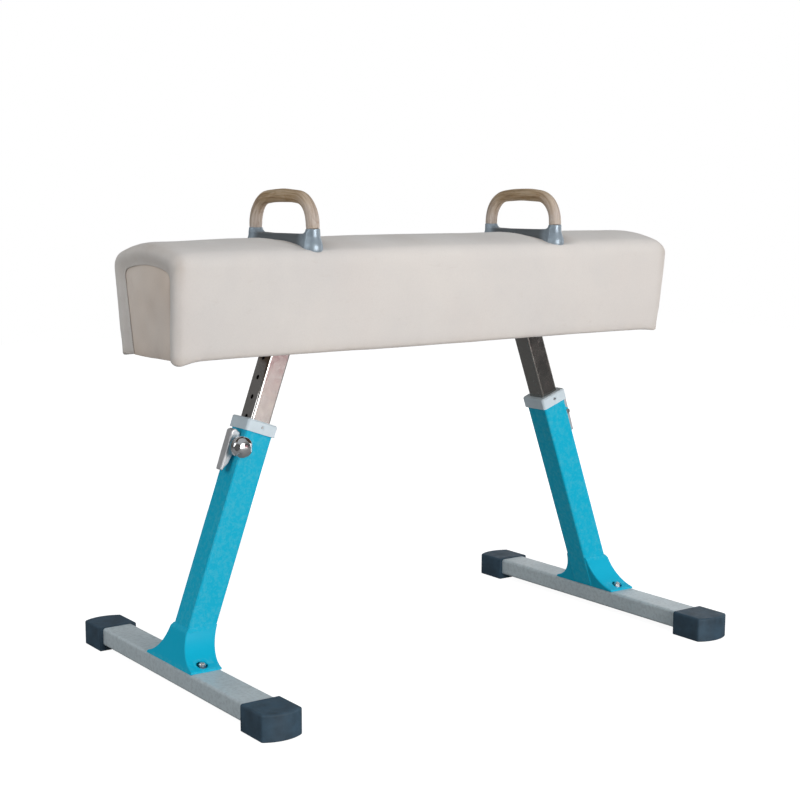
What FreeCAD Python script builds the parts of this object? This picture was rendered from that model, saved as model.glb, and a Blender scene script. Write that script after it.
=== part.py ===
import FreeCAD, Part
import math
import os

import Sketcher

V = FreeCAD.Vector

# ---------------------------------------------------------------- document
doc = FreeCAD.newDocument("pommel_horse")
sheet = doc.addObject("Spreadsheet::Sheet", "Dims")

# Driving dimensions, millimetres and degrees: alias, value, meaning.
DIMS = [
    ("body_length", 1606.0, "length of the padded body"),
    ("body_half_bottom", 152.0, "half width of the body at its underside"),
    ("body_half_top", 176.0, "half width of the body at the shoulders"),
    ("body_bottom", 861.0, "height of the underside above the floor"),
    ("body_crown", 1154.0, "height of the crown above the floor"),
    ("shoulder_level", 1092.0, "height where the side meets the shoulder arc"),
    ("crown_radius", 524.0, "radius of the crowned top across the body"),
    ("rim_radius", 24.0, "rounding of the body's end edges"),
    ("skin", 2.5, "cover thickness"),
    ("core_half", 118.0, "half width of the plywood core"),
    ("core_half_length", 783.0, "half length of the plywood core"),
    ("ply", 18.0, "board thickness"),
    ("top_board_half", 150.0, "half width of the top board"),
    ("top_board_level", 1090.0, "underside of the top board"),
    ("lean", 19.83, "lean of each leg, degrees"),
    ("leg_root_x", 718.0, "distance of the leg axis from the centre at the height leg_root_z"),
    ("leg_root_z", 68.0, "height of the leg frame's origin"),
    ("outer_side", 80.0, "outer leg tube, across flats"),
    ("outer_wall", 3.0, "outer leg tube, wall"),
    ("outer_top", 642.0, "outer leg tube, top end along the leg"),
    ("inner_side", 60.0, "inner leg tube, across flats"),
    ("inner_wall", 3.0, "inner leg tube, wall"),
    ("inner_low", 300.0, "inner leg tube, lower end along the leg"),
    ("inner_high", 1075.0, "inner leg tube, upper end along the leg"),
    ("index_pitch", 53.25, "pitch of the index holes"),
    ("index_level", 598.0, "index plunger axis along the leg"),
    ("index_hole", 12.8, "index hole diameter"),
    ("collar_side", 92.0, "collar across flats"),
    ("collar_low", 616.0, "collar lower end along the leg"),
    ("collar_high", 648.0, "collar upper end along the leg"),
    ("pivot_level", 569.0, "latch pivot along the leg"),
    ("pivot_out", 48.0, "latch pivot distance from the leg axis"),
    ("pivot_dia", 10.0, "latch pivot stud diameter"),
    ("lever_width", 30.0, "latch lever width"),
    ("lever_out", 67.0, "lever's outer face from the leg axis"),
    ("knob_dia", 58.8, "clamp knob diameter"),
    ("foot_x", 723.0, "foot beam centre from the middle"),
    ("beam_width", 90.0, "foot beam width"),
    ("beam_height", 50.0, "foot beam height"),
    ("beam_level", 15.0, "foot beam underside above the floor"),
    ("beam_length", 940.0, "foot beam length"),
    ("beam_wall", 4.0, "foot beam wall"),
    ("cap_width", 113.0, "foot cap width"),
    ("cap_height", 68.0, "foot cap height"),
    ("cap_start", 390.5, "foot cap mouth from the middle"),
    ("cap_end", 487.0, "foot cap end corners from the middle"),
    ("cap_bulge", 504.0, "foot cap end face middle"),
    ("bracket_top", 160.0, "foot bracket top edge above the floor"),
    ("bracket_half", 122.0, "foot bracket half length at the beam"),
    ("bracket_neck", 46.0, "foot bracket half length at its top"),
    ("plate", 6.0, "foot bracket plate thickness"),
    ("bolt_y", 100.0, "foot bolt distance from the leg"),
    ("pommel_x", 406.5, "pommel distance from the middle"),
    ("grip_dia", 34.0, "pommel grip diameter"),
    ("grip_leg", 141.0, "pommel leg distance from the middle plane"),
    ("grip_top_radius", 738.0, "radius of the grip's long top curve"),
    ("grip_top_half", 76.3, "half length of the grip's top curve"),
    ("grip_bend", 71.5, "bend radius of the grip's shoulders"),
    ("grip_splay", 4.3, "outward splay of the grip's legs, degrees"),
    ("grip_base", 1176.0, "lower end of the grip"),
    ("grip_crown", 1260.0, "top of the grip's centre line"),
    ("base_width", 56.0, "pommel base width at its feet"),
    ("base_waist", 46.0, "pommel base width at its waist"),
    ("base_level", 1164.0, "flat top of the pommel base"),
]
for row, (alias, value, note) in enumerate(DIMS, start=1):
    sheet.set("A%d" % row, note)
    sheet.set("B%d" % row, "%g" % value)
    sheet.setAlias("B%d" % row, alias)
doc.recompute()


class Q:
    """A number together with the spreadsheet expression that gives it."""

    def __init__(self, n, e):
        self.n = float(n)
        self.e = e

    def __add__(self, o):
        o = q(o)
        return Q(self.n + o.n, "(%s + %s)" % (self.e, o.e))

    def __radd__(self, o):
        return q(o) + self

    def __sub__(self, o):
        o = q(o)
        return Q(self.n - o.n, "(%s - %s)" % (self.e, o.e))

    def __rsub__(self, o):
        return q(o) - self

    def __mul__(self, o):
        o = q(o)
        return Q(self.n * o.n, "(%s * %s)" % (self.e, o.e))

    __rmul__ = __mul__

    def __truediv__(self, o):
        o = q(o)
        return Q(self.n / o.n, "(%s / %s)" % (self.e, o.e))

    def __neg__(self):
        return Q(-self.n, "(0 - %s)" % self.e)


def q(o):
    return o if isinstance(o, Q) else Q(o, "%.6f" % float(o))


S = {alias: Q(float(sheet.get(alias)), "Dims." + alias) for alias, _, _ in DIMS}
nodes = {}


def bind(obj, **props):
    for name, value in props.items():
        obj.setExpression(name, q(value).e)
    return obj


def keep(obj, label, placement=None):
    obj.Label = label
    if placement is not None:
        obj.Placement = placement
    nodes[label] = obj
    return obj


# ---------------------------------------------------------------- helpers
def box(x0, x1, y0, y1, z0, z1, name="Box"):
    b = doc.addObject("Part::Box", name)
    bind(b, Length=q(x1) - q(x0), Width=q(y1) - q(y0), Height=q(z1) - q(z0))
    b.setExpression("Placement.Base.x", q(x0).e)
    b.setExpression("Placement.Base.y", q(y0).e)
    b.setExpression("Placement.Base.z", q(z0).e)
    return b


def cyl(axis, r, length, x, y, z, name="Cyl"):
    """Cylinder whose base centre is (x, y, z) and which runs along +axis."""
    c = doc.addObject("Part::Cylinder", name)
    rot = {
        "X": FreeCAD.Rotation(V(0, 1, 0), 90),
        "Y": FreeCAD.Rotation(V(1, 0, 0), -90),
        "Z": FreeCAD.Rotation(),
    }[axis]
    c.Placement = FreeCAD.Placement(V(0, 0, 0), rot)
    bind(c, Radius=r, Height=length)
    c.setExpression("Placement.Base.x", q(x).e)
    c.setExpression("Placement.Base.y", q(y).e)
    c.setExpression("Placement.Base.z", q(z).e)
    return c


def cone(axis, r1, r2, length, x, y, z, name="Cone"):
    c = doc.addObject("Part::Cone", name)
    rot = {
        "X": FreeCAD.Rotation(V(0, 1, 0), 90),
        "Y": FreeCAD.Rotation(V(1, 0, 0), -90),
        "-Y": FreeCAD.Rotation(V(1, 0, 0), 90),
        "Z": FreeCAD.Rotation(),
    }[axis]
    c.Placement = FreeCAD.Placement(V(0, 0, 0), rot)
    bind(c, Radius1=r1, Radius2=r2, Height=length)
    c.setExpression("Placement.Base.x", q(x).e)
    c.setExpression("Placement.Base.y", q(y).e)
    c.setExpression("Placement.Base.z", q(z).e)
    return c


def cut(base, *tools):
    for tool in tools:
        c = doc.addObject("Part::Cut", "Cut")
        c.Base, c.Tool = base, tool
        base = c
    return base


def fuse(*shapes):
    f = doc.addObject("Part::MultiFuse", "Fuse")
    f.Shapes = list(shapes)
    return f


def group(*shapes):
    """Several separate solids kept in one node."""
    c = doc.addObject("Part::Compound", "Group")
    c.Links = list(shapes)
    return c


def common(a, b):
    c = doc.addObject("Part::Common", "Common")
    c.Base, c.Tool = a, b
    return c


def moved(obj, placement):
    m = doc.addObject("Part::Compound", "Moved")
    m.Links = [obj]
    m.Placement = placement
    return m


def fillet(base, r, pick):
    doc.recompute()
    ids = [i + 1 for i, e in enumerate(base.Shape.Edges) if pick(e)]
    f = doc.addObject("Part::Fillet", "Fillet")
    f.Base = base
    f.Edges = [(i, float(r), float(r)) for i in ids]
    return f


def chamfer(base, r, pick):
    doc.recompute()
    ids = [i + 1 for i, e in enumerate(base.Shape.Edges) if pick(e)]
    f = doc.addObject("Part::Chamfer", "Chamfer")
    f.Base = base
    f.Edges = [(i, float(r), float(r)) for i in ids]
    return f


def along(axis):
    d = {"X": V(1, 0, 0), "Y": V(0, 1, 0), "Z": V(0, 0, 1)}[axis]

    def pick(e):
        if not isinstance(e.Curve, Part.Line) and not isinstance(e.Curve, Part.LineSegment):
            return False
        t = e.tangentAt(e.FirstParameter)
        return abs(abs(t.dot(d)) - 1) < 1e-6

    return pick


def square_tube(side, wall, z0, z1, r_out, name="Tube"):
    """Square tube on the leg axis with rounded corners, along local Z."""
    h = q(side) / 2
    i = h - wall
    outer = fillet(box(-h, h, -h, h, z0, z1, name), r_out, along("Z"))
    inner = fillet(box(-i, i, -i, i, q(z0) - 1, q(z1) + 1, name), max(r_out - q(wall).n, 1.0), along("Z"))
    return cut(outer, inner)


PLANES = {"XY": "XY_Plane", "XZ": "XZ_Plane", "YZ": "YZ_Plane"}


def new_body(name):
    return doc.addObject("PartDesign::Body", name)


def plane_of(body, which):
    for f in body.Origin.OriginFeatures:
        if f.Role == PLANES[which]:
            return f
    raise RuntimeError(which)


def arc_from(p1, p2, r, side):
    """Centre and angles of the arc p1-p2 of radius r; side +1 puts the centre left of p1->p2."""
    mx, my = (p1[0] + p2[0]) / 2, (p1[1] + p2[1]) / 2
    dx, dy = p2[0] - p1[0], p2[1] - p1[1]
    chord = math.hypot(dx, dy)
    hgt = math.sqrt(max(r * r - chord * chord / 4, 0.0))
    cx, cy = mx - side * dy / chord * hgt, my + side * dx / chord * hgt
    a1 = math.atan2(p1[1] - cy, p1[0] - cx)
    a2 = math.atan2(p2[1] - cy, p2[0] - cx)
    return cx, cy, a1, a2


def sketch(body, which, pts, offset=None, name="Sketch", closed=True):
    """Closed profile. pts holds (x, y) or (x, y, radius, side): the last two make the
    segment that starts there an arc. Every corner is placed from the spreadsheet."""
    sk = body.newObject("Sketcher::SketchObject", name)
    sk.AttachmentSupport = [(plane_of(body, which), "")]
    sk.MapMode = "FlatFace"
    if offset is not None:
        sk.AttachmentOffset = FreeCAD.Placement(V(0, 0, 0), FreeCAD.Rotation())
        sk.setExpression("AttachmentOffset.Base.z", q(offset).e)
    P = [(q(p[0]), q(p[1])) for p in pts]
    n = len(pts)
    last = n if closed else n - 1
    ends = []
    for i in range(last):
        a, b = P[i], P[(i + 1) % n]
        pa, pb = (a[0].n, a[1].n), (b[0].n, b[1].n)
        if len(pts[i]) > 2:
            r, side = q(pts[i][2]), pts[i][3]
            cx, cy, a1, a2 = arc_from(pa, pb, r.n, side)
            ccw = side > 0
            if not ccw:
                a1, a2 = a2, a1
            while a2 <= a1:
                a2 += 2 * math.pi
            g = sk.addGeometry(Part.ArcOfCircle(Part.Circle(V(cx, cy, 0), V(0, 0, 1), r.n), a1, a2), False)
            c = sk.addConstraint(Sketcher.Constraint("Radius", g, r.n))
            sk.setExpression("Constraints[%d]" % c, r.e)
            ends.append((g, 1, 2) if ccw else (g, 2, 1))
        else:
            g = sk.addGeometry(Part.LineSegment(V(pa[0], pa[1], 0), V(pb[0], pb[1], 0)), False)
            ends.append((g, 1, 2))
    m = len(ends)
    for i in range(m if closed else m - 1):
        g1, _, e1 = ends[i]
        g2, s2, _ = ends[(i + 1) % m]
        sk.addConstraint(Sketcher.Constraint("Coincident", g1, e1, g2, s2))
    for i in range(n):
        if i < m:
            g, s, _ = ends[i]
        else:
            g, _, s = ends[-1]
        for kind, value, axis in (("DistanceX", P[i][0], -2), ("DistanceY", P[i][1], -1)):
            if abs(value.n) < 1e-9:
                sk.addConstraint(Sketcher.Constraint("PointOnObject", g, s, axis))
            else:
                c = sk.addConstraint(Sketcher.Constraint(kind, -1, 1, g, s, value.n))
                sk.setExpression("Constraints[%d]" % c, value.e)
    return sk


def pad(body, sk, length, mid=True, reverse=False):
    p = body.newObject("PartDesign::Pad", "Pad")
    p.Profile = sk
    bind(p, Length=length)
    if mid:
        if hasattr(p, "SideType"):
            p.SideType = "Symmetric"
        else:
            p.Midplane = True
    p.Reversed = reverse
    return p


def pocket_all(body, sk):
    """Cuts the profile right through the body, both ways."""
    doc.recompute()
    before = body.Shape.Volume
    p = body.newObject("PartDesign::Pocket", "Pocket")
    p.Profile = sk
    p.Type = "ThroughAll"
    if hasattr(p, "SideType"):
        p.SideType = "Symmetric"
    else:
        p.Midplane = True
    doc.recompute()
    if not body.Shape.Volume < before - 1e-3:
        print(before, body.Shape.Volume, p.State, p.Shape.BoundBox, sk.Shape.BoundBox, sk.FullyConstrained)
        raise RuntimeError("pocket cut nothing in " + body.Name)
    return p


def body_fillet(body, r, pick):
    """Rounds the picked edges of the body's present shape."""
    doc.recompute()
    tip = body.Tip
    names = ["Edge%d" % (i + 1) for i, e in enumerate(tip.Shape.Edges) if pick(e)]
    f = body.newObject("PartDesign::Fillet", "Fillet")
    f.Base = (tip, names)
    f.Radius = r
    doc.recompute()
    if f.Shape.isNull() or not f.Shape.isValid():
        raise RuntimeError("fillet failed in " + body.Name)
    return f


def rect(x0, x1, y0, y1):
    return [(x0, y0), (x1, y0), (x1, y1), (x0, y1)]


def revolve(body, sk, axis):
    r = body.newObject("PartDesign::Revolution", "Revolution")
    r.Profile = sk
    r.ReferenceAxis = (sk, [axis])
    r.Angle = 360.0
    return r


def hexagon(af, x, y):
    """Corner list of a regular hexagon, across flats af."""
    rr = q(af) / (2 * math.cos(math.pi / 6))
    return [(q(x) + rr * math.cos(math.radians(60 * k + 30)), q(y) + rr * math.sin(math.radians(60 * k + 30))) for k in range(6)]


# Leg frame: origin on the leg axis, local X towards the middle of the horse, local Z up the leg.
# The right leg is the left leg turned half a turn about the vertical.
LEAN = FreeCAD.Rotation(V(0, 1, 0), S["lean"].n)
HALF = FreeCAD.Rotation(V(0, 0, 1), 180)


def leg_frame(side):
    x = S["leg_root_x"].n
    if side == "left":
        return FreeCAD.Placement(V(-x, 0, S["leg_root_z"].n), LEAN)
    return FreeCAD.Placement(V(x, 0, S["leg_root_z"].n), HALF.multiply(LEAN))


def foot_frame(side):
    return FreeCAD.Placement() if side == "left" else FreeCAD.Placement(V(0, 0, 0), HALF)


def end_frame(side):
    return FreeCAD.Placement() if side == "left" else FreeCAD.Placement(V(0, 0, 0), HALF)


SIDES = ("left", "right")

# ================================================================ legs
for side in SIDES:
    LF = leg_frame(side)
    FF = foot_frame(side)
    ho = S["outer_side"] / 2
    hi = S["inner_side"] / 2
    fx = -S["foot_x"]

    # ---- outer tube: rounded square tube, cut level where it stands on the bracket's base plate
    tube = square_tube(S["outer_side"], S["outer_wall"], -60, S["outer_top"], 6.0, "OuterTube")
    floor_cut = box(-1400, 1400, -300, 300, -600, S["beam_level"] + S["beam_height"] + S["plate"], "Floor")
    level = moved(floor_cut, FreeCAD.Placement(leg_frame("left").inverse()))
    pin_hole = cyl("X", 7.5, 20, -ho - 5, 0, S["index_level"])
    screw_holes = cyl("Y", 2.0, 200, 0, -100, (S["collar_low"] + S["outer_top"]) / 2 + 4)
    tube = cut(tube, level, pin_hole, screw_holes)
    keep(tube, side + "_outer_tube", LF)

    # ---- guide bush: plastic sleeve between the two tubes
    bi = ho - S["outer_wall"]
    bush = new_body("Bush_" + side)
    pad(bush, sketch(bush, "XY", rect(-bi, bi, -bi, bi), offset=S["outer_top"] - 27), 27, mid=False)
    body_fillet(bush, 3.0, along("Z"))
    bore = hi + 0.4
    pocket_all(bush, sketch(bush, "XY", rect(-bore, bore, -bore, bore), offset=S["outer_top"] - 30))
    keep(bush, side + "_guide_bush", LF)

    # ---- collar: plastic cap over the tube's end, bevelled towards the inner tube
    hc = S["collar_side"] / 2
    col = fillet(box(-hc, hc, -hc, hc, S["collar_low"], S["collar_high"], "Collar"), 8.0, along("Z"))
    top = S["collar_high"].n
    col = chamfer(col, 3.5, lambda e: abs(e.BoundBox.ZMin - top) < 1e-6 and abs(e.BoundBox.ZMax - top) < 1e-6)
    seat = fillet(box(-ho, ho, -ho, ho, S["collar_low"] - 1, S["outer_top"], "Seat"), 6.0, along("Z"))
    mouth = fillet(box(-bore, bore, -bore, bore, S["collar_low"], S["collar_high"] + 1, "Mouth"), 6.4, along("Z"))
    zs = (S["collar_low"] + S["outer_top"]) / 2 + 4
    sinks = [cyl("Y", 4.9, 4, 0, hc - 2.2, zs), cyl("Y", 4.9, 4, 0, -hc - 1.8, zs)]
    col = cut(col, seat, mouth, cyl("Y", 2.0, 200, 0, -100, zs), *sinks)
    keep(col, side + "_collar", LF)

    # ---- collar screws, front and back
    screws = []
    for sg in (-1, 1):
        shank = cyl("Y", 2.0, 7, 0, hc - 9 if sg > 0 else -hc + 2, zs)
        head = cone("Y" if sg > 0 else "-Y", 3.6, 2.6, 2.0, 0, hc - 2.2 if sg > 0 else -hc + 2.2, zs)
        cross = fuse(box(-1.8, 1.8, hc - 1.1 if sg > 0 else -hc - 1, hc + 1 if sg > 0 else -hc + 1.1, zs - 0.4, zs + 0.4),
                     box(-0.4, 0.4, hc - 1.1 if sg > 0 else -hc - 1, hc + 1 if sg > 0 else -hc + 1.1, zs - 1.8, zs + 1.8))
        screws.append(cut(fuse(shank, head), cross))
    keep(group(*screws), side + "_collar_screws", LF)

    # ---- latch lugs: two plates welded to the tube's outer face
    lugs = []
    for sg in (-1, 1):
        b = new_body("Lug_%s_%d" % (side, 1 if sg > 0 else 0))
        y0 = 15.5
        pts = [(-ho, S["pivot_level"] + 22), (-ho, S["pivot_level"] - 22),
               (-S["pivot_out"] - 4, S["pivot_level"] - 11), (-S["pivot_out"] - 10, S["pivot_level"] - 6),
               (-S["pivot_out"] - 10, S["pivot_level"] + 6), (-S["pivot_out"] - 4, S["pivot_level"] + 11)]
        sk = sketch(b, "XZ", pts, offset=(-y0 - 8) if sg > 0 else y0)
        pad(b, sk, 8, mid=False)
        lug = cut(b, cyl("Y", S["pivot_dia"] / 2 + 0.05, 80, -S["pivot_out"], -40, S["pivot_level"]))
        lugs.append(lug)
    keep(group(*lugs), side + "_latch_lugs", LF)

    # ---- pivot stud: hexagon head at the +Y end, plain shank to the knob
    hexa = new_body("StudHead_" + side)
    pad(hexa, sketch(hexa, "XZ", hexagon(15.0, -S["pivot_out"], S["pivot_level"]), offset=-24.0 - 7.0), 7, mid=False)
    shank = cyl("Y", S["pivot_dia"] / 2, 78, -S["pivot_out"], -54, S["pivot_level"])
    washer = cyl("Y", 7.6, 0.5, -S["pivot_out"], 23.5, S["pivot_level"])
    keep(fuse(shank, washer, hexa), side + "_pivot_stud", LF)

    # ---- plunger bush: flanged ring in the tube's wall
    pb = fuse(cyl("X", 7.5, 3, -ho, 0, S["index_level"]), cyl("X", 9.0, 2.6, -ho - 2.6, 0, S["index_level"]))
    pb = cut(pb, cyl("X", 6.05, 20, -ho - 8, 0, S["index_level"]))
    keep(pb, side + "_plunger_bush", LF)

    # ---- index plunger: nose, stem and head; the nose stops just short of the inner tube's face
    pl = new_body("Plunger_" + side)
    nose = hi + 0.4
    pts = [(-nose - 2.0, 0), (-nose - 2.0, 6.0), (-S["pivot_out"] - 2, 6.0), (-S["pivot_out"] - 2, 9.0),
           (-S["pivot_out"] - 6, 9.0), (-S["pivot_out"] - 6, 0)]
    sk = sketch(pl, "XY", [(-nose, 0), (-nose, 4.6), (-nose - 1.4, 6.0)] + pts[2:])
    revolve(pl, sk, "H_Axis")
    keep(pl, side + "_index_plunger",
         LF.multiply(FreeCAD.Placement(V(0, 0, S["index_level"].n), FreeCAD.Rotation())))

    # ---- latch lever: cast rocker, its long arm standing off the tube as the finger grip
    lv = new_body("Lever_" + side)
    lo = -S["lever_out"]
    pz = S["pivot_level"]
    pts = [(-ho - 0.6, pz), (-ho - 0.6, pz + 37), (-ho - 17, pz + 44.5), (lo + 3, pz + 43), (lo, pz + 36),
           (lo, pz - 63), (lo + 3.5, pz - 71), (lo + 8.5, pz - 71), (lo + 10, pz - 66), (-ho - 8.8, pz - 44)]
    pad(lv, sketch(lv, "XZ", pts), S["lever_width"])
    half_w = S["lever_width"].n / 2
    body_fillet(lv, 3.0, lambda e: abs(abs(e.CenterOfMass.y) - half_w) < 1e-6 and e.CenterOfMass.x < -ho.n - 6)
    pocket = box(-S["lever_out"] + 4, -ho + 5, -9.3, 9.3, pz + 18.5, pz + 40, "LeverPocket")
    pocket2 = cyl("Y", S["pivot_dia"] / 2 + 0.05, 80, -S["pivot_out"], -40, pz)
    lever = cut(lv, pocket, pocket2)
    pegs = [cyl("Y", 2.0, 3.2, -S["pivot_out"] + 0.5, yy, S["index_level"]) for yy in (-9.6, 6.4)]
    lever = fuse(lever, *pegs)
    keep(lever, side + "_latch_lever", LF)

    # ---- clamp knob: chrome ball nut cut back to six tilted flats, turned by hand
    kb = new_body("Knob_" + side)
    r = S["knob_dia"] / 2
    prof = [(S["pivot_dia"] / 2 + 0.05, -23.8), (7.6, -23.8), (7.6, -40.8), (r - 3.4, -40.8), (r - 1.2, -42.8), (r - 0.2, -47), (r, -52),
            (r - 0.4, -57), (r - 1.8, -61.5), (r - 4.2, -65.5), (r - 7.7, -68.8), (17.0, -71.2), (11.0, -73), (5.0, -73.8), (0, -74),
            (0, -55.0), (S["pivot_dia"] / 2 + 0.05, -55.0)]
    sk = sketch(kb, "XY", prof)
    revolve(kb, sk, "V_Axis")
    knob = cut(kb)
    flats = []
    for k in range(6):
        turn = FreeCAD.Rotation(V(0, 1, 0), 60 * k + 15).multiply(FreeCAD.Rotation(V(0, 0, 1), -35))
        flat = doc.addObject("Part::Box", "Flat")
        flat.Length, flat.Width, flat.Height = 20, 44, 44
        flat.Placement = FreeCAD.Placement(V(0, -52, 0), turn).multiply(FreeCAD.Placement(V(25.8, -22, -22), FreeCAD.Rotation()))
        flats.append(flat)
    knob = cut(kb, *flats)
    keep(knob, side + "_clamp_knob",
         LF.multiply(FreeCAD.Placement(V(-S["pivot_out"].n, 0, S["pivot_level"].n), FreeCAD.Rotation())))

    # ---- inner tube, with a row of index holes in its outer face and cross-bolt holes at the top
    it = square_tube(S["inner_side"], S["inner_wall"], S["inner_low"], S["inner_high"], 6.0, "InnerTube")
    holes = [cyl("X", S["index_hole"] / 2, 12, -hi - 5, 0, S["index_level"] + S["index_pitch"] * k) for k in range(-3, 5)]
    holes += [cyl("Y", 5.0, 120, 0, -60, z) for z in (930, 1020)]
    it = cut(it, fuse(*holes))
    keep(it, side + "_inner_tube", LF)

    # ---- glide plug round the inner tube's lower end
    gl = new_body("Glide_" + side)
    gb = ho - S["outer_wall"] - 0.35
    pad(gl, sketch(gl, "XY", rect(-gb, gb, -gb, gb), offset=S["inner_low"] - 4), 34, mid=False)
    body_fillet(gl, 3.0, along("Z"))
    seat = fillet(box(-hi, hi, -hi, hi, S["inner_low"], S["inner_low"] + 60, "Seat"), 6.0, along("Z"))
    keep(cut(gl, seat), side + "_glide_plug", LF)

    # ---- leg socket inside the core: sleeve on a flange plate
    flange_z = S["body_bottom"] + S["skin"] + S["ply"]
    sleeve = square_tube(72.0, 6.0, 820, 1060, 8.0, "Sleeve")
    sleeve = cut(sleeve, fuse(*[cyl("Y", 5.0, 120, 0, -60, z) for z in (930, 1020)]))
    sleeve_w = moved(sleeve, leg_frame("left"))
    below = box(-900, 0, -200, 200, 600, flange_z, "Below")
    sleeve_w = cut(sleeve_w, below)
    plate = box(-520, -326, -66, 66, flange_z, flange_z + 6, "Flange")
    tube_env = moved(fillet(box(-hi, hi, -hi, hi, 700, 1200, "Env"), 6.0, along("Z")), leg_frame("left"))
    plate = cut(plate, tube_env)
    sock = fuse(sleeve_w, plate)
    sock = cut(sock, fuse(*[cyl("Z", 3.5, 40, sx, sy, flange_z - 10) for sx in (-508, -338) for sy in (-54, 54)]))
    keep(sock, side + "_leg_socket", end_frame(side))

    # ================================================================ foot
    # ---- beam
    bw, bh, bl = S["beam_width"] / 2, S["beam_height"], S["beam_length"] / 2
    zb = S["beam_level"]
    outer = fillet(box(fx - bw, fx + bw, -bl, bl, zb, zb + bh, "Beam"), 8.0, along("Y"))
    w = S["beam_wall"]
    inner = fillet(box(fx - bw + w, fx + bw - w, -bl - 1, bl + 1, zb + w, zb + bh - w, "BeamIn"), 4.0, along("Y"))
    bolt_holes = fuse(*[cyl("Z", 6.1, 20, fx, sy, zb + bh - 10) for sy in (-S["bolt_y"], S["bolt_y"])])
    beam = cut(outer, inner, bolt_holes)
    if side == "left":
        beam = cut(beam, cyl("Z", 4.5, 20, fx + 31, 228, zb + bh - 10))
    keep(beam, side + "_foot_beam", FF)

    # ---- rubber caps, end face swelling outwards
    for tag, sg in (("front", -1 if side == "left" else 1), ("back", 1 if side == "left" else -1)):
        cb = new_body("Cap_%s_%s" % (side, tag))
        cw = S["cap_width"] / 2
        sag = S["cap_bulge"] - S["cap_end"]
        rad = (cw * cw + sag * sag) / (2 * sag)
        y0, y1 = S["cap_start"] * sg, S["cap_end"] * sg
        if sg < 0:
            pts = [(fx - cw, y0), (fx - cw, y1, rad, 1), (fx + cw, y1), (fx + cw, y0)]
        else:
            pts = [(fx + cw, y0), (fx + cw, y1, rad, 1), (fx - cw, y1), (fx - cw, y0)]
        pad(cb, sketch(cb, "XY", pts), S["cap_height"], mid=False)
        yend, ystart, high = abs(y1.n), S["cap_start"].n, S["cap_height"].n
        body_fillet(cb, 7.0, lambda e: along("Z")(e) and abs(abs(e.CenterOfMass.y) - yend) < 1)
        body_fillet(cb, 6.0, lambda e: e.BoundBox.ZMin > high - 0.01 and abs(e.CenterOfMass.y) > ystart + 1)
        body_fillet(cb, 3.0, lambda e: e.BoundBox.ZMax < 0.01 and abs(e.CenterOfMass.y) > ystart + 1)
        pk = fillet(box(fx - bw, fx + bw, -bl if sg < 0 else S["cap_start"] - 5, -S["cap_start"] + 5 if sg < 0 else bl,
                        zb, zb + bh, "CapPocket"), 8.0, along("Y"))
        keep(cut(cb, pk), "%s_%s_foot_cap" % (side, tag), FF)

    # ---- bracket: curved front and back plates, side plates, base plate, all one weldment
    zt, zbase = S["bracket_top"], zb + bh
    nk, hl = S["bracket_neck"], S["bracket_half"]
    br = new_body("Bracket_" + side)
    lip, R = zbase + 8, 100.0
    pts = [(-hl, zbase), (hl, zbase), (hl, zbase + 5), (hl - 6, lip, R, -1), (nk, zt - 10), (nk - 5.5, zt), (-nk + 5.5, zt),
           (-nk, zt - 10, R, -1), (-hl + 6, lip), (-hl, zbase + 5)]
    pad(br, sketch(br, "YZ", pts), 2600)
    slab_o = moved(box(-ho - S["plate"], ho - 1.6, -200, 200, -150, 300, "SlabOuter"), leg_frame("left"))
    solid = common(br, slab_o)
    zneck = zt.n - 10
    solid = fillet(solid, 4.0, lambda e: "Line" not in e.Curve.TypeId and abs(e.CenterOfMass.y) > nk.n and e.CenterOfMass.z < zneck)
    # sloped upper lip on the outer side plate
    ta, ca = math.tan(math.radians(S["lean"].n)), math.cos(math.radians(S["lean"].n))
    rx, rz = -S["leg_root_x"].n, S["leg_root_z"].n
    A = (rx - (ho.n + S["plate"].n) / ca + (zneck - rz) * ta, zneck)
    B = (rx - (ho.n + 0.5) / ca + (zt.n - rz) * ta, zt.n)
    dx, dz = B[0] - A[0], B[1] - A[1]
    wb = new_body("LipWedge_" + side)
    pad(wb, sketch(wb, "XZ", [(A[0] - 2 * dx, A[1] - 2 * dz), (B[0] + 2 * dx, B[1] + 2 * dz), (B[0] + 2 * dx, 280), (A[0] - 80, 280),
                              (A[0] - 80, A[1] - 2 * dz)]), 600)
    bi2 = new_body("BracketIn_" + side)
    t = S["plate"]
    pts = [(-hl + 20, zbase + t), (hl - 20, zbase + t), (hl - 20, zbase + t + 1.0, R + 6, -1), (nk - t, zt - 9), (nk - t, zt + 1),
           (-nk + t, zt + 1), (-nk + t, zt - 9, R + 6, -1), (-hl + 20, zbase + t + 1.0)]
    pad(bi2, sketch(bi2, "YZ", pts), 2600)
    slab_i = moved(box(-ho, ho - 1.6 - t, -200, 200, -150, 300, "SlabInner"), leg_frame("left"))
    hollow = common(bi2, slab_i)
    env = fillet(box(-ho, ho, -ho, ho, -150, 300, "TubeEnv"), 6.0, along("Z"))
    above = box(-1400, 0, -300, 300, zbase + t, 400, "Above")
    env = common(moved(env, leg_frame("left")), above)
    access = fuse(*[cyl("Z", 15.5, 90, fx, sy, zbase + t) for sy in (-S["bolt_y"], S["bolt_y"])])
    through = fuse(*[cyl("Z", 6.1, 30, fx, sy, zbase - 5) for sy in (-S["bolt_y"], S["bolt_y"])])
    bracket = cut(solid, wb, hollow, env, access, through)
    keep(bracket, side + "_foot_bracket", FF)

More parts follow.
